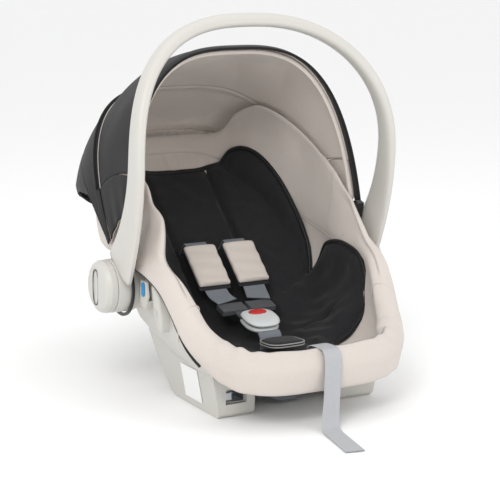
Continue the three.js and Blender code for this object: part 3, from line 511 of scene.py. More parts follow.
def even_turns(count, depth):
    """Turns that are evenly far apart along the rim, which a superellipse's own angle isn't."""
    fine = np.linspace(0, 1, 40001)
    steps = np.linalg.norm(np.diff(bucket(fine, np.ones(40001), depth)[:, :2], axis=0), axis=1)
    gone = np.concatenate([[0], np.cumsum(steps)])
    return np.interp(np.linspace(0, gone[-1], count, endpoint=False), gone, fine)


around = 360
turns = even_turns(around, 0.0)
place_round = np.arange(around) / around
rim_at = bucket(turns, 1.0, 0.0)
front = ease(-rim_at[:, 1], 0.0, 0.09)
corners = bell(np.abs(rim_at[:, 0]), 0.13, 0.035) * ease(-rim_at[:, 1], 0.20, 0.27)
gather = (corners * np.sin(place_round * 2 * np.pi * 52)
          + 0.25 * front * np.sin(place_round * 2 * np.pi * 23 + 1))

lining_rows = []
for t in np.linspace(0, 0.93, 30):
    row = bucket(turns, np.full(around, t), 0.0204)
    wave = np.sin(place_round * 2 * np.pi * 9 + 5 * t) * np.sin(t * 9 + place_round * 11)
    inward = unit(np.stack([-row[:, 0], -(row[:, 1] - middle_y), 0 * turns], axis=-1))
    if t > 0.7:
        head_folds = ease(row[:, 1], 0.15, 0.19) * ease(t, 0.70, 0.85)
        row = row + inward * (0.0015 * head_folds * (1 + np.sin(place_round * 2 * np.pi * 66)))[:, None]
    ripple = 0.0012 * wave * ease(t, 0.4, 0.7) + 0.002 * bell(t, 0.8, 0.1)
    lining_rows.append(row + inward * ripple[:, None])

# Round the head the inner side of the roll goes on up as a soft side wall under the canopy.
wall_top = through([(-0.155, 0.0), (-0.140, 0.004), (-0.122, 0.020), (-0.095, 0.045), (-0.066, 0.066),
                    (-0.038, 0.093), (0.022, 0.126), (0.080, 0.138), (0.120, 0.132), (0.160, 0.095),
                    (0.205, 0.030), (0.230, 0.012)])
wall_lean = through([(-0.150, 0.0), (-0.120, -0.004), (-0.066, -0.005), (0.040, -0.006), (0.114, -0.012),
                     (0.180, -0.004), (0.230, 0.0)])

# The stuffed roll's section: (offset out from the rim, rise over it, share of the side wall), from
# the inner seam over the top to the hem.
roll = np.array([(-0.0215, -0.006, 0), (-0.0232, 0.000, 0.02), (-0.0235, 0.006, 0.08),
                 (-0.0225, 0.009, 0.2), (-0.0205, 0.0115, 0.4), (-0.018, 0.0136, 0.6),
                 (-0.015, 0.0152, 0.78), (-0.0115, 0.0165, 0.92), (-0.008, 0.0173, 0.99),
                 (-0.004, 0.0176, 1.0), (0.0, 0.0170, 0.99), (0.0035, 0.0158, 0.92),
                 (0.0065, 0.0140, 0.78), (0.009, 0.0117, 0.6), (0.0115, 0.0090, 0.4),
                 (0.0132, 0.0060, 0.2), (0.0145, 0.0025, 0.08), (0.0155, -0.0040, 0)])
hem = [(0.0150, 0.15), (0.0140, 0.4), (0.0125, 0.65), (0.0110, 0.85), (0.0095, 0.97), (0.0070, 1.02),
       (0.0050, 0.98)]
full = 0.35 + 0.65 * front
lip = ease(-rim_at[:, 1], 0.262, 0.292)
thigh = bell(rim_at[:, 1], -0.135, 0.055)
tall = wall_top(rim_at[:, 1])
# The right wall has slumped further in than the left one, as loose padding does.
slump = 0.020 * (rim_at[:, 0] < 0) * ease(rim_at[:, 1], -0.14, -0.09) * ease(-rim_at[:, 1], -0.12, 0.0)
flare = wall_lean(rim_at[:, 1]) - slump
roll_rows = []
for step, (offset, rise, share) in enumerate(roll):
    crown = sin(np.pi * step / (len(roll) - 1))
    inner = (0.010 * lip + 0.009 * thigh) * (offset < -0.010)
    swell = 0.0022 * gather * crown
    thin = (0.55 + 0.45 * full) * (1 - 0.55 * share * np.minimum(1, tall / 0.05))
    high = share * np.minimum(1, tall / 0.05)
    soft_fold = 0.0018 * np.sin(place_round * 2 * np.pi * 17 + 4 * share) * high
    soft_fold += 0.0009 * (rim_at[:, 0] < 0) * np.sin(place_round * 2 * np.pi * 41 + 9 * share) * high
    roll_rows.append(rim_section(turns, offset * thin + inner + 0.6 * swell * (offset > 0)
                                 + flare * share ** 0.7 + soft_fold,
                                 rise * full + swell * (offset > -0.02) + tall * share))


def under_hood(points):
    """Keeps points inside the folded hood, whose width and reach follow a superellipse of power 3."""
    reach = np.hypot(points[..., 1] - pivot_y, points[..., 2] - pivot_z)
    limit = 0.181 * np.cbrt(np.clip(1 - (reach / 0.327) ** 3, 0.02, 1))
    inside = np.sign(points[..., 0]) * np.minimum(np.abs(points[..., 0]), limit)
    over_rim = ease(points[..., 2] - rim_height(points[..., 1]), 0.012, 0.030)
    kept = points.copy()
    kept[..., 0] += (inside - points[..., 0]) * over_rim
    return kept


def merged(piece, gap, outward=False):
    """Joins a piece's points that lie within the gap, such as those at a pole, and turns its faces
    outwards if asked."""
    work = bmesh.new()
    work.from_mesh(piece.data)
    bmesh.ops.remove_doubles(work, verts=work.verts, dist=gap)
    if outward:
        bmesh.ops.recalc_face_normals(work, faces=work.faces)
    work.to_mesh(piece.data)
    work.free()
    piece.data.shade_smooth()
    return piece


roll_rows = [under_hood(row) for row in roll_rows]
drop = hem_drop(rim_at[:, 1])
for offset, part in hem:
    roll_rows.append(rim_section(turns, offset * (0.6 + 0.4 * full) + 0.0012 * gather * part,
                                 -0.005 - drop * part))
cover_points = np.stack([*lining_rows, *roll_rows])
cover_cloth = cloth("cover_cloth", (0.655, 0.60, 0.555), (0.555, 0.50, 0.46), 2100.0, 0.88, 0.25, 0.0006,
                    0.004, 16.0)
cover = merged(surface("cover", cover_points, around=True), 1e-5)
wadding = cover.modifiers.new("wadding", "SOLIDIFY")
wadding.thickness = 0.0012
wadding.offset = -1
place(cover, cover_cloth, "seat", "cover_fabric", "seat_cover", "cover_rim")


def cord_round(points, radius, sides=8, closed=False):
    """A round section of one radius carried along the points, as piping and rope are."""
    if closed:
        ahead = np.roll(points, -1, axis=0) - np.roll(points, 1, axis=0)
    else:
        ahead = np.gradient(points, axis=0)
    along = unit(ahead)
    side = unit(np.cross(along, np.array([0.13, 0.27, 0.95])))
    up = np.cross(along, side)
    angle = np.linspace(0, 2 * np.pi, sides, endpoint=False)
    ring = np.cos(angle)[None, :, None] * side[:, None] + np.sin(angle)[None, :, None] * up[:, None]
    tube = points[:, None] + radius * ring
    return np.concatenate([tube, tube[:1]]) if closed else tube


def seam_line(name, points, material, body, slot, radius=0.0009, closed=False):
    """A raised seam, drawn as a thin cord that is half sunk in the cloth."""
    tube = cord_round(points, radius, closed=closed)
    line = surface(name, tube, around=True, closed_ends=not closed)
    return place(line, material, body, slot)


seam_thread = cloth("cover_seam_thread", (0.60, 0.54, 0.50), (0.47, 0.42, 0.385), 2600.0, 0.8, 0.1,
                    0.0003)
inner_offset = -0.0235 * (0.55 + 0.45 * full) + 0.010 * lip + 0.009 * thigh
inner_seam = rim_section(turns, inner_offset, -0.002 * full)
seam_line("cover_inner_seam", inner_seam, seam_thread, "seat", "cover_fabric", 0.0011, closed=True)
# Two seams cross the roll on each side, at the front corner and by the hip, and end in the hem.
for side, label in ((1, "left"), (-1, "right")):
    for turn_at, which, first in ((0.75 + 0.175 * side, "corner", 0), (0.75 + 0.239 * side, "side", 4)):
        section = [*roll[first:, :2] * 1.03, (0.0158, -0.012), (0.0148, -0.022)]
        across = np.array([rim_section(turn_at, offset, rise) for offset, rise in section])
        seam_line("cover_" + which + "_seam_" + label, smooth_path(across, 40), seam_thread, "seat",
                  "cover_fabric", 0.0008)


# Black elastic is sewn into the hem. It shows as a thin dark edge along both flanks.
elastic = cloth("hem_elastic", (0.022, 0.022, 0.024), (0.012, 0.012, 0.013), 2400.0, 0.7, 0.1, 0.0003)
hem_line = rim_section(turns, 0.0122 * (0.6 + 0.4 * full), -0.005 - drop * 0.99)
for side, label in ((1, "left"), (-1, "right")):
    on_flank = (hem_line[:, 0] * side > 0.10) & (hem_line[:, 1] > -0.242) & (hem_line[:, 1] < -0.070)
    flank = hem_line[on_flank]
    flank = flank[np.argsort(flank[:, 1])]
    seam_line("cover_elastic_" + label, smooth_path(flank[::3], 80), elastic, "seat", "insert_fabric",
              0.0028)


# ---- Insert: a black quilted body support laid in the bucket. A flat middle panel has two soft
# wings at the head and two lobes at the thighs, and a satin piping is sewn round its edge.

# How far up the bucket the edge comes, against the distance from the middle of the front edge.
insert_edge = through([(0.0, 0.53), (0.06, 0.53), (0.12, 0.545), (0.165, 0.60), (0.19, 0.74),
                       (0.21, 0.89), (0.245, 1.015), (0.285, 1.045), (0.32, 1.03), (0.345, 0.97),
                       (0.358, 0.86), (0.366, 0.78), (0.376, 0.84), (0.392, 0.935), (0.43, 1.04),
                       (0.48, 1.13), (0.53, 1.15), (0.57, 1.08), (0.60, 0.90), (0.63, 0.80),
                       (0.678, 0.775)])
insert_depth = 0.0235
pad_around = 360
pad_turns = even_turns(pad_around, insert_depth)
half_round = 0.678
distance = np.arange(pad_around) / pad_around * 2 * half_round
# The rim distance is counted from turn 0, at the side, so the front's middle is found first.
front_at = distance[np.argmin(np.abs(pad_turns - 0.75))]
from_front = np.abs((distance - front_at + half_round) % (2 * half_round) - half_round)
edge_t = insert_edge(from_front)


def lined(turn, t, depth):
    """The bucket's surface, carried on up the side wall where t is over 1."""
    plan_y = bucket(turn, np.minimum(t, 0.985), depth)[:, 1]
    depth = depth - 0.0095 * bell(plan_y, -0.135, 0.06) * ease(t, 0.72, 0.95)
    low = bucket(turn, np.minimum(t, 0.985), depth)
    over = np.maximum(0, t - 0.985)
    y = low[:, 1]
    lean = 0.25 * over * ease(y, -0.06, 0.0)
    out = unit(np.stack([low[:, 0], 0.35 * (low[:, 1] - middle_y), 0 * turn], axis=-1))
    return low + out * (0.09 * lean)[:, None] + np.array([0, 0, 1]) * (0.30 * over)[:, None]


insert_rows = []
shares = np.concatenate([np.linspace(0.0, 0.86, 34), np.linspace(0.88, 1.0, 12)])
for share in shares:
    t = share * edge_t
    here = lined(pad_turns, t, insert_depth)
    x = np.abs(here[:, 0])
    y = here[:, 1]
    wing = ease(x, 0.056, 0.078)
    crease = bell(x, 0.058, 0.0045) * ease(y, -0.06, -0.03)
    plump = 0.008 + 0.011 * wing * np.abs(np.sin(np.pi * np.clip((x - 0.050) / 0.115, 0, 1))) ** 0.8
    plump = plump + 0.007 * bell(y, -0.140, 0.055) * ease(x, 0.115, 0.145)
    quilt = 0.0016 * np.sin(9 * x / 0.05 + y * 60) * np.sin(y * 95 + x * 40) * wing
    quilt += 0.0012 * np.sin(230 * (y + 0.6 * x)) * wing * bell(y, 0.05, 0.05) * (share < 0.9)
    lobe_seam = 0.0055 * bell(y + 0.5 * (x - 0.12), -0.128, 0.004) * ease(x, 0.070, 0.10)
    lobe_seam = lobe_seam * (1 - ease(x, 0.138, 0.152))
    waist = 0.004 * bell(y + 0.02, 0.0, 0.012) * wing
    puff = plump + quilt - 0.0065 * crease - lobe_seam - waist
    rounding = np.clip((1 - share) / 0.11, 0, 1)
    height = np.maximum(0.0008, puff) * np.sqrt(np.clip(1 - (1 - rounding) ** 2, 0, 1))
    insert_rows.append(lined(pad_turns, t, insert_depth + height))
back_rows = [lined(pad_turns, share * edge_t, 0.0226) for share in (1.0, 0.85, 0.7, 0.55, 0.4, 0.2, 0.0)]
insert_cloth = cloth("insert_cloth", (0.020, 0.020, 0.022), (0.009, 0.009, 0.011), 1900.0, 0.82, 0.12,
                     0.0007, 0.006, 26.0)
piping_cloth = cloth("insert_piping", (0.009, 0.009, 0.010), (0.004, 0.004, 0.005), 2600.0, 0.42, 0.1,
                     0.0003)
insert = merged(surface("insert", np.stack([*insert_rows, *back_rows]), around=True), 1e-5)
place(insert, insert_cloth, "seat", "insert_fabric", "insert_back", "insert_seat", "insert_head_wing_left",
      "insert_head_wing_right", "insert_leg_wing_left", "insert_leg_wing_right")
piping_path = lined(pad_turns, edge_t, 0.0262)
seam_line("insert_piping", piping_path, piping_cloth, "seat", "insert_fabric", 0.0042, closed=True)


# ---- Harness: two 38 mm webbing straps out of the back slots, each through a soft pad to a tongue
# that clips into the buckle on the crotch strap.

slope = atan(0.9)
webbing_width = 0.038
webbing_thick = 0.0019
selvedge = 0.35
level_across = np.array([[1.0, 0, 0]])


def on_back(distance, lift):
    """A point up the reclined back from the shoulder slots, lifted square off it: (y, z)."""
    return (0.036 + cos(slope) * distance - sin(slope) * lift,
            0.200 + sin(slope) * distance + cos(slope) * lift)


webbing = cloth("harness_webbing", (0.205, 0.225, 0.25), (0.135, 0.15, 0.17), 2600.0, 0.7, 0.15, 0.0009)
pad_cloth = cloth("shoulder_pad_cloth", (0.66, 0.60, 0.55), (0.55, 0.495, 0.45), 2300.0, 0.92, 0.35,
                  0.0006, 0.0016, 40.0)
pad_under = cloth("shoulder_pad_under", (0.028, 0.028, 0.031), (0.018, 0.018, 0.020), 2000.0, 0.85, 0.1,
                  0.0005)
for side, label in ((1, "left"), (-1, "right")):
    strap_x = 0.0345 * side
    route = [(0.0215 * side, 0.061, 0.070), (0.024 * side, 0.076, 0.096), (0.033 * side, 0.092, 0.122),
             (strap_x, *on_back(0.006, -0.076)), (strap_x, *on_back(0.006, -0.060)),
             (strap_x, *on_back(0.006, -0.006)), (strap_x, *on_back(0.004, 0.0005)),
             (strap_x, *on_back(-0.003, 0.0014)), (strap_x, *on_back(-0.050, 0.0008)),
             (0.033 * side, *on_back(-0.096, 0.0015)), (0.0275 * side, -0.0575, 0.1275)]
    strap = ribbon("shoulder_strap_" + label + "_webbing", smooth_path(route, 90), level_across,
                   webbing_width, webbing_thick, selvedge)
    place(strap, webbing, "seat", "webbing", "shoulder_strap_" + label)

    # The pad is a folded sleeve: a thick crowned top over a thin dark underside that shows at its end.
    slab = []
    for s in np.linspace(0, 1, 44):
        distance = -0.084 + 0.078 * s
        end = np.clip(min(s, 1 - s) / 0.07, 0, 1)
        round_end = np.sqrt(1 - (1 - end) ** 2)
        angle = np.linspace(0, 2 * np.pi, 36, endpoint=False)
        wide = squared_off(np.cos(angle), 0.55) * 0.027 * (0.93 + 0.07 * round_end)
        high = squared_off(np.sin(angle), 0.6)
        lift = 0.0068 + high * (0.0008 + 0.0042 * round_end) * np.where(high > 0, 1.15, 0.8)
        lift = lift + 0.0007 * np.sin(s * 21 + wide * 60) * (high > 0)
        y, z = on_back(distance, lift)
        slab.append(np.stack([strap_x + wide, y, z], axis=-1))
    pad_piece = surface("shoulder_pad_" + label + "_soft", np.stack(slab), around=True, closed_ends=True)
    place(pad_piece, pad_cloth, "shoulder_pad_body_" + label, "cover_fabric", "shoulder_pad_" + label)
    lining = []
    for s in np.linspace(0, 1, 12):
        y, z = on_back(-0.0885 + 0.081 * s, 0.0026)
        angle = np.linspace(0, 2 * np.pi, 20, endpoint=False)
        wide = squared_off(np.cos(angle), 0.5) * 0.0272
        high = np.sin(angle) * 0.0012
        lining.append(np.stack([strap_x + wide, y - sin(slope) * high, z + cos(slope) * high], axis=-1))
    under = surface("shoulder_pad_" + label + "_underside", np.stack(lining), around=True,
                    closed_ends=True)
    place(under, pad_under, "shoulder_pad_body_" + label, "cover_fabric")

crotch_route = [(0, -0.146, 0.0374), (0, -0.146, 0.060), (0, -0.146, 0.080), (0, -0.143, 0.090),
                (0, -0.137, 0.0955)]
crotch = ribbon("crotch_strap_webbing", smooth_path(crotch_route, 30), level_across, webbing_width,
                webbing_thick, selvedge)
place(crotch, webbing, "seat", "webbing", "crotch_strap")
# The adjuster strap's hidden half runs under the seat, from the splitter plate to the adjuster.
under_route = [(0, 0.049, 0.066), (0, 0.020, 0.050), (0, -0.040, 0.033), (0, -0.110, 0.031),
               (0, -0.160, 0.031), (0, -0.215, 0.031), (0, -0.245, 0.034), (0, -0.264, 0.041)]
under_webbing = ribbon("under_strap_webbing", smooth_path(under_route, 60), level_across, pull_width,
                       pull_thick)
place(under_webbing, pull_cloth, "seat", "pull_webbing", "under_strap")


def crowned_pad(name, outline, low, high, crown, rings=14):
    """A closed pad over an outline of (x, y) points: its rim is midway between two heights, each a
    function of y, and it swells to them towards the middle like a quarter of an ellipse."""
    middle = outline.mean(axis=0)
    top = []
    bottom = []
    for s in np.linspace(0, 1, rings):
        plan = middle + (outline - middle) * s
        swell = np.sqrt(np.clip(1 - s ** crown, 0, 1))
        centre = (low(plan[:, 1]) + high(plan[:, 1])) / 2
        half = (high(plan[:, 1]) - low(plan[:, 1])) / 2
        top.append(np.column_stack([plan, centre + half * swell]))
        bottom.append(np.column_stack([plan, centre - half * swell]))
    return surface(name, np.stack([*top, *bottom[::-1][1:]]), around=True)


def rounded_outline(half_x, half_y, centre, power=4.0, count=72):
    """A superellipse of the given half sizes round a centre."""
    angle = np.linspace(0, 2 * np.pi, count, endpoint=False)
    x = squared_off(np.cos(angle), 2 / power) * half_x
    y = squared_off(np.sin(angle), 2 / power) * half_y
    return np.column_stack([centre[0] + x, centre[1] + y])


def floor_under(y):
    """The height of the cover over the keel."""
    return keel_height(y) + 0.030


crotch_outline = rounded_outline(0.030, 0.0265, (0, -0.1795), 3.4)
crotch_cushion = crowned_pad("crotch_pad_soft", crotch_outline, lambda y: floor_under(y) + 0.0125,
                             lambda y: floor_under(y) + 0.0225, 6)
place(crotch_cushion, insert_cloth, "seat", "insert_fabric", "crotch_pad")
pale_edge = cloth("crotch_pad_edge", (0.42, 0.42, 0.41), (0.30, 0.30, 0.29), 2600.0, 0.6, 0.1, 0.0003)
for height, where in ((0.0155, "low"), (0.0192, "high")):
    line = np.column_stack([crotch_outline, floor_under(crotch_outline[:, 1]) + height])
    seam_line("crotch_pad_edge_" + where, line, pale_edge, "seat", "insert_fabric", 0.0009, closed=True)


# ---- Buckle: a two-part pale grey housing with a crowned top and an oval red push button.

def in_buckle(piece):
    """Tips a mesh made flat at the origin up with the buckle and moves it to its place."""
    flat = np.empty(len(piece.data.vertices) * 3)
    piece.data.vertices.foreach_get("co", flat)
    x, y, z = flat.reshape(-1, 3).T
    tilt = 0.28
    turned_up = np.stack([x, y * cos(tilt) - z * sin(tilt) - 0.112,
                          y * sin(tilt) + z * cos(tilt) + 0.106], axis=1)
    piece.data.vertices.foreach_set("co", turned_up.ravel())
    piece.data.update()
    return piece


def level(height, fall=0.0):
    """A height that falls away from the middle, for a crowned top or belly."""
    return lambda y: height - fall * (y / 0.027) ** 2


housing_line = rounded_outline(0.0288, 0.0268, (0, 0), 3.0, 96)
housing_line[:, 0] *= 1 - 0.10 * ease(-housing_line[:, 1], 0, 0.03)
housing_top = in_buckle(crowned_pad("buckle_housing_top", housing_line, level(0.0006),
                                    level(0.0092, 0.0012), 5, 26))
place(housing_top, pale_grey, "seat", "buckle_grey", "buckle_body")
housing_low = in_buckle(crowned_pad("buckle_housing_base", housing_line * 0.985, level(-0.0088),
                                    level(0.0002), 6, 20))
place(housing_low, pale_grey, "seat", "buckle_grey")
button_line = rounded_outline(0.0150, 0.0073, (0, 0.0115), 2.3, 72)
# The dark grey well that shows as a thin ring round the push button is painted shade in the gap between the
# button and the housing.
well_line = button_line + (button_line - [0, 0.0115]) * 0.08
button_well_shade = in_buckle(crowned_pad("buckle_button_well_shade", well_line, level(0.0050), level(0.0094), 12, 14))
place(button_well_shade, dark_grey, "seat", "buckle_grey")
push_button = in_buckle(crowned_pad("buckle_push_button", button_line, level(0.0068), level(0.0114), 4, 20))
place(push_button, button_red, "buckle_release", "button_red", "buckle_button")


# ---- Adjuster bezel: a black moulded collar at the front edge, where the adjuster strap comes out.

collar_y = -0.2865


def over_the_rim(height):
    """A height at the collar's middle that slopes down to the back and curves over the rim."""
    return lambda y: height - 0.42 * (y - collar_y) - 8 * (y - collar_y) ** 2


collar_line = rounded_outline(0.031, 0.0125, (0, collar_y), 2.6, 80)
collar = crowned_pad("adjuster_collar", collar_line, over_the_rim(0.0985), over_the_rim(0.1052), 5, 18)
place(collar, black_plastic, "seat", "dark_plastic", "adjuster_bezel")


# ---- Canopy: a folding hood of charcoal cloth with a cream lining. A front and a rear panel hang on
# steel bows, a bound edge finishes the front, and clips at the hubs carry the front bow.

front_radius = 0.346
front_half = 0.1964
rear_radius = 0.353
rear_half = 0.1995
skin = 0.0011


def hood(degrees, across, radius, half):
    """A point on the hood: an angle back from upright about the pivot, and across from -1 to 1 over
    the top along a superellipse of power 3."""
    reach = radius * np.cos(across * np.pi / 2) ** (2 / 3)
    side = np.sin(across * np.pi / 2)
    angle = np.radians(degrees)
    return np.stack([half * squared_off(side, 2 / 3), pivot_y + reach * np.sin(angle),
                     pivot_z + reach * np.cos(angle)], axis=-1)


def reach_of(across, radius):
    """How far a point of the hood is from the pivot axis."""
    return radius * np.cos(across * np.pi / 2) ** (2 / 3)


def across_at(share):
    """Where the reach is that share of the radius."""
    return np.arccos(share ** 1.5) * 2 / np.pi


def bow_degrees(reach):
    """The front bow's plane leans back 0.1731 radians and passes 42.7 mm ahead of the pivot."""
    return np.degrees(0.1731 - np.arcsin(0.0427 / reach))


def even_across(edge, count):
    """Places across the hood that are evenly far apart along it."""
    fine = np.linspace(-edge, edge, 4001)
    line = hood(0.0, fine, front_radius, front_half)
    gone = np.concatenate([[0], np.cumsum(np.linalg.norm(np.diff(line, axis=0), axis=1))])
    return np.interp(np.linspace(0, gone[-1], count), gone, fine)


hood_cloth = cloth("hood_cloth", (0.0115, 0.011, 0.013), (0.005, 0.005, 0.0065), 2000.0, 0.62, 0.04, 0.0005,
                   0.005, 11.0)
# The lining's cream is its own colour, but it is made paler than the cover cloth. That extra paleness is
# painted light, standing in for the fill light inside the hood.
lining_cloth_painted_light = cloth("hood_lining_painted_light", (0.74, 0.675, 0.62), (0.64, 0.58, 0.53), 2100.0, 0.9, 0.25, 0.0005,
                     0.006, 13.0)
front_edge = across_at(0.165 / front_radius)
front_across = even_across(front_edge, 150)


def front_sheet(inset, count=30, slack=0.0):
    """The front panel at a distance in from its outside, with soft dips between the bows. slack is
    how far a looser layer sags in, in slanting folds that fade out towards the bows."""
    start = bow_degrees(reach_of(front_across, front_radius))
    top = np.cos(front_across * np.pi / 2)
    sheet = []
    for v in np.linspace(0, 1, count):
        between = np.sin(np.pi * v)
        dip = 0.0035 * between * top + 0.0012 * np.sin(front_across * 17 + 5 * v) * between
        pleat = np.abs(np.sin(front_across * 11 - 3.5 * v + 0.6))
        sag = slack * between ** 0.8 * (0.2 + 0.8 * pleat)
        dip = dip + sag * ease(front_edge - np.abs(front_across), 0.15, 0.6)
        sheet.append(hood(start + (38.0 - start) * v, front_across, front_radius - inset - dip,
                          front_half - inset - 0.5 * dip))
    return np.stack(sheet)


def rear_sheet(inset, count=56, high=1.0):
    """The rear panel from the middle bow to a share of its height. Its first two thirds swell
    towards the hem, and the last third turns in under the hood's elastic. A lining, which is
    further in than the cloth is thick, dips over the middle bow."""
    edge_share = np.abs(front_across / front_edge)
    reaches_back = 35.4 - 24 * edge_share ** 2.4
    sheet = []
    for v in np.linspace(0, high, count):
        back = np.minimum(1, v * 1.5)
        turn_in = np.clip((v - 2 / 3) * 3, 0, 1) * (1 - 0.85 * edge_share ** 4)
        low_edge = across_at((0.074 + 0.106 * ease(back, 0.0, 1.0)) / rear_radius)
        places = front_across * low_edge / front_edge
        degrees = 41.6 + reaches_back * back - 4.4 * (1 - ease(back, 0, 0.12))
        swell = 0.004 * np.sin(np.pi * back) - 0.0028 * bell(back, 0.48, 0.016)
        swell = swell - 0.0028 * bell(back, 0.02, 0.02)
        over_bow = 0.0050 * bell(degrees, 39.4, 1.1) * (inset > 0.0013)
        inward = (0.055 + 0.095 * ease(reaches_back, 30, 34)) * turn_in
        radius = (rear_radius + 0.019 * back) * (1 - inward) - inset + swell - over_bow
        radius = radius - 0.0035 * (1 - ease(back, 0.0, 0.08))
        gathers = 0.0016 * np.sin(places * 75) * ease(back, 0.6, 1.0)
        degrees = degrees + (2 - 1000 * inset) * np.sin(np.pi * turn_in / 2)
        sheet.append(hood(degrees, places, radius + gathers, rear_half - inset + 0.4 * swell))
    return np.stack(sheet)


def closed_sheet(name, outer, inner):
    """One closed surface out of an outside and an inside on the same grid, joined round the edge."""
    sheet = np.concatenate([outer, inner[:, ::-1]], axis=1)
    piece = surface(name, sheet, around=True, closed_ends=False)
    caps = bmesh.new()
    caps.from_mesh(piece.data)
    rows, columns = outer.shape[:2]
    caps.verts.ensure_lookup_table()
    for row in (0, rows - 1):
        base = row * 2 * columns
        for k in range(columns - 1):
            corner = [base + k, base + k + 1, base + 2 * columns - 2 - k, base + 2 * columns - 1 - k]
            caps.faces.new([caps.verts[i] for i in (corner if row else corner[::-1])])
    bmesh.ops.recalc_face_normals(caps, faces=caps.faces)
    caps.to_mesh(piece.data)
    caps.free()
    piece.data.shade_smooth()
    return piece


front_outside = front_sheet(0.0)
front_outer = closed_sheet("hood_front_panel", front_outside, front_sheet(skin))
place(front_outer, hood_cloth, "canopy", "canopy_fabric", "canopy_front_panel")
front_lined = front_sheet(0.0016, 44, slack=0.007)
front_lining = closed_sheet("hood_front_lining", front_lined, front_sheet(0.0026, 44, slack=0.007))
place(front_lining, lining_cloth_painted_light, "canopy", "cover_fabric")
rear_outside = rear_sheet(0.0)
rear_outer = closed_sheet("hood_rear_panel", rear_outside, rear_sheet(skin))
place(rear_outer, hood_cloth, "seat", "canopy_fabric", "canopy_rear_panel")
rear_lined = rear_sheet(0.0016, 40, 0.345)
rear_lining = closed_sheet("hood_rear_lining", rear_lined, rear_sheet(0.0026, 40, 0.345))
place(rear_lining, lining_cloth_painted_light, "seat", "cover_fabric")


# The lining ends in a casing with elastic drawn through it, which puckers the cloth.
casing_radius = 0.3575
casing_across = even_across(across_at(0.27 / casing_radius), 260)
pucker = np.sin(np.arange(260) * 0.62) + 0.4 * np.sin(np.arange(260) * 1.7)
casing_line = hood(59.9, casing_across, casing_radius + 0.0008 * pucker, 0.1965)
casing = ribbon("hood_casing", casing_line, np.array([[0, 0.5, -0.86]]), 0.021, 0.006)
place(casing, lining_cloth_painted_light, "seat", "cover_fabric")


def bow_line(radius, half, low_reach, shift=0.0, count=110, degrees=None):
    """The line of a bow or an edge over the hood, down to a reach from the pivot. It lies a shift
    back from the front bow's plane, or else at a fixed angle back from upright."""
    places = even_across(across_at(low_reach / radius), count)
    if degrees is None:
        reach = reach_of(places, radius)
        degrees = bow_degrees(reach) + np.degrees(shift / reach)
    return hood(degrees, places, radius, half)


binding_cloth = cloth("hood_binding", (0.010, 0.010, 0.011), (0.005, 0.005, 0.006), 2400.0, 0.6, 0.1,
                      0.0005)
tilted = np.array([[0, 1, 0.2]])
binding = ribbon("hood_binding", bow_line(0.3446, 0.1954, 0.106, -0.007), tilted, 0.015, 0.0048)
place(binding, binding_cloth, "canopy", "insert_fabric", "canopy_binding")
front_bow = ribbon("hood_front_bow", bow_line(0.3375, 0.1895, 0.1034, 0.004), tilted, 0.0068, 0.0068)
place(front_bow, lining_cloth_painted_light, "canopy", "steel", "canopy_front_bow")
mid_bow = ribbon("hood_mid_bow", bow_line(0.352, 0.200, 0.166, count=90, degrees=39.4),
                 np.array([[0, 0.6, -0.8]]), 0.0046, 0.0046)
place(mid_bow, hood_cloth, "seat", "steel", "canopy_mid_bow")

# A lined side flap on each side closes the hood from the panels down to the hub.
for side, label in ((1, "left"), (-1, "right")):
    faces = []
    for inset in (0.0, 0.0012):
        flap = []
        for v in np.linspace(0, 1, 24):
            reach = np.linspace(0.163, 0.106 - 0.031 * ease(v, 0.05, 0.95), 18)
            start = bow_degrees(reach)
            pleat = 0.0016 * np.sin(v * 24) * np.linspace(0, 1, 18)
            row = hood(start + (47 - start) * v, across_at(reach / front_radius), front_radius, front_half)
            row[:, 0] -= inset + pleat * 0.5 - 0.0014
            row[:, 0] *= side
            flap.append(row)
        faces.append(np.stack(flap))
    flap_piece = closed_sheet("hood_side_" + label, faces[0], faces[1])
    place(flap_piece, hood_cloth, "canopy", "canopy_fabric", "canopy_side_" + label)
    lining_faces = [faces[1] - np.array([side * gap, 0, 0]) for gap in (0.0006, 0.0016)]
    lining_piece = closed_sheet("hood_side_lining_" + label, lining_faces[0], lining_faces[1])
    place(lining_piece, lining_cloth_painted_light, "canopy", "cover_fabric")


# ---- Carry handle: one hollow plastic loop, wide at the hubs and slimmer at the grip, moulded in two
# halves with a fine parting seam. Round hubs at both ends turn on the pivot bolts.

def handle_point(across, rise):
    """A point of the handle's middle line: it bows forwards as it rises and leans a little."""
    bow = 4 * 0.078 * (rise / 0.4) * (1 - rise / 0.4)
    return np.stack([across, pivot_y - 0.032 * rise - bow, pivot_z + rise - 0.032 * bow], axis=-1)


leg_x = 0.212
leg = np.linspace(0.031, 0.188, 26, endpoint=False)
arch = np.linspace(0, np.pi, 181)
round_power = 2 / 2.44
arch_x = leg_x * squared_off(np.cos(arch), round_power)
arch_rise = 0.188 + 0.1995 * np.sin(arch) ** round_power
handle_line = np.concatenate([handle_point(leg_x + 0 * leg, leg), handle_point(arch_x, arch_rise),
                              handle_point(-leg_x + 0 * leg, leg[::-1])])
handle_line = smooth_path(handle_line[::4], 200)


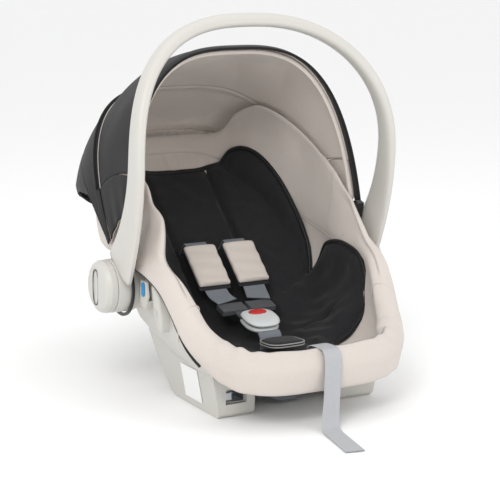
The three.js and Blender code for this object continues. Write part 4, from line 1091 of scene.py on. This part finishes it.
def handle_loop(name, line):
    """A fat rounded section along the loop: 38 mm half width at the hubs down to 14 mm at the grip,
    and 7.6 mm half thickness up to 10.4 mm, with a shallow groove where the halves meet."""
    top = np.sin(np.pi * np.linspace(0, 1, len(line)))
    along = unit(np.gradient(line, axis=0))
    fore = np.array([[0, 1.0, 0]])
    side = unit(fore - (fore * along).sum(-1, keepdims=True) * along)
    up = np.cross(along, side)
    angle = np.linspace(0, 2 * np.pi, 48, endpoint=False)
    groove = 1 - 0.035 * sum(bell(angle, seam, 0.07) for seam in (np.pi, 0.0, 2 * np.pi))
    wide = squared_off(np.cos(angle), 0.78) * groove
    high = squared_off(np.sin(angle), 0.78) * groove
    half_wide = 0.0140 + 0.0240 * (1 - top) ** 2.2
    half_high = 0.0076 + 0.0028 * top ** 1.5
    sections = line[:, None] + side[:, None] * (half_wide[:, None] * wide)[..., None]
    sections = sections + up[:, None] * (half_high[:, None] * high)[..., None]
    return surface(name, sections, around=True, closed_ends=True)


def turned(name, section, side, sides=96):
    """A section of (radius, distance out) points turned round the pivot axis."""
    section = np.array(section, float)
    angle = np.linspace(0, 2 * np.pi, sides, endpoint=False)
    radius = section[:, 0][:, None]
    points = np.stack([side * section[:, 1][:, None] + 0 * angle[None],
                       pivot_y + radius * np.cos(angle)[None],
                       pivot_z + radius * np.sin(angle)[None]], axis=-1)
    piece = merged(surface(name, points, around=True), 1e-6, outward=True)
    piece.data.set_sharp_from_angle(angle=radians(40))
    return piece


loop = handle_loop("handle_loop", handle_line)
place(loop, greige, "handle", "shell_plastic", "carry_handle")
hub_section = [(0.0063, 0.1888), (0.038, 0.1888), (0.0395, 0.1893), (0.040, 0.1905), (0.040, 0.2205),
               (0.0395, 0.2218), (0.038, 0.222), (0.030, 0.222), (0.030, 0.192), (0.0063, 0.192),
               (0.0063, 0.1888)]
for side, label in ((1, "left"), (-1, "right")):
    hub = turned("handle_hub_" + label, hub_section, side)
    place(hub, greige, "handle", "shell_plastic", "carry_handle")

    # An oval groove in the cap's face frames the push button. It is drawn as a thin dark grey cord, which
    # is painted shade in the groove.
    groove_line = rounded_outline(0.0095, 0.0262, (0, 0), 3.0, 90)
    groove_shade_path = np.column_stack([np.full(90, 0.2424 * side), pivot_y + groove_line[:, 0],
                                   pivot_z + groove_line[:, 1]])
    seam_line("hub_groove_shade_" + label, groove_shade_path, dark_grey, "handle", "shell_plastic", 0.0008, closed=True)


# ---- Belt hooks: a moulded leaf beside each belt guide turns the vehicle's lap belt in under the rim.

leaf_middle_z = 0.152
leaf_layers = ((0.0, 0.1755), (1.0, 0.1755), (1.0, 0.186), (0.93, 0.189), (0.80, 0.1902), (0.0, 0.1906))
leaf_line = rounded_outline(0.0105, 0.036, (0, 0), 2.2, 80)
leaf_y = -0.146 + leaf_line[:, 0] + (leaf_line[:, 1] * 0.22 + 6.0 * leaf_line[:, 1] ** 2)
leaf_z = leaf_middle_z + leaf_line[:, 1]
# Its lower half leans in towards the shell.
leaf_lean = 0.10 * (leaf_middle_z - leaf_z).clip(0)
for side, label in ((1, "left"), (-1, "right")):
    rings = [np.column_stack([side * (out - leaf_lean), leaf_y.mean() + (leaf_y - leaf_y.mean()) * share,
                              leaf_z.mean() + (leaf_z - leaf_z.mean()) * share])
             for share, out in leaf_layers]
    leaf = surface("belt_hook_" + label, np.stack(rings), around=True, faces_in=side < 0)
    merged(leaf, 1e-6, outward=True)
    leaf.data.set_sharp_from_angle(angle=radians(50))
    place(leaf, greige, "seat", "shell_plastic")
    finished("guide_mark_" + label, guide_blue, "guide_blue", 0.0003)
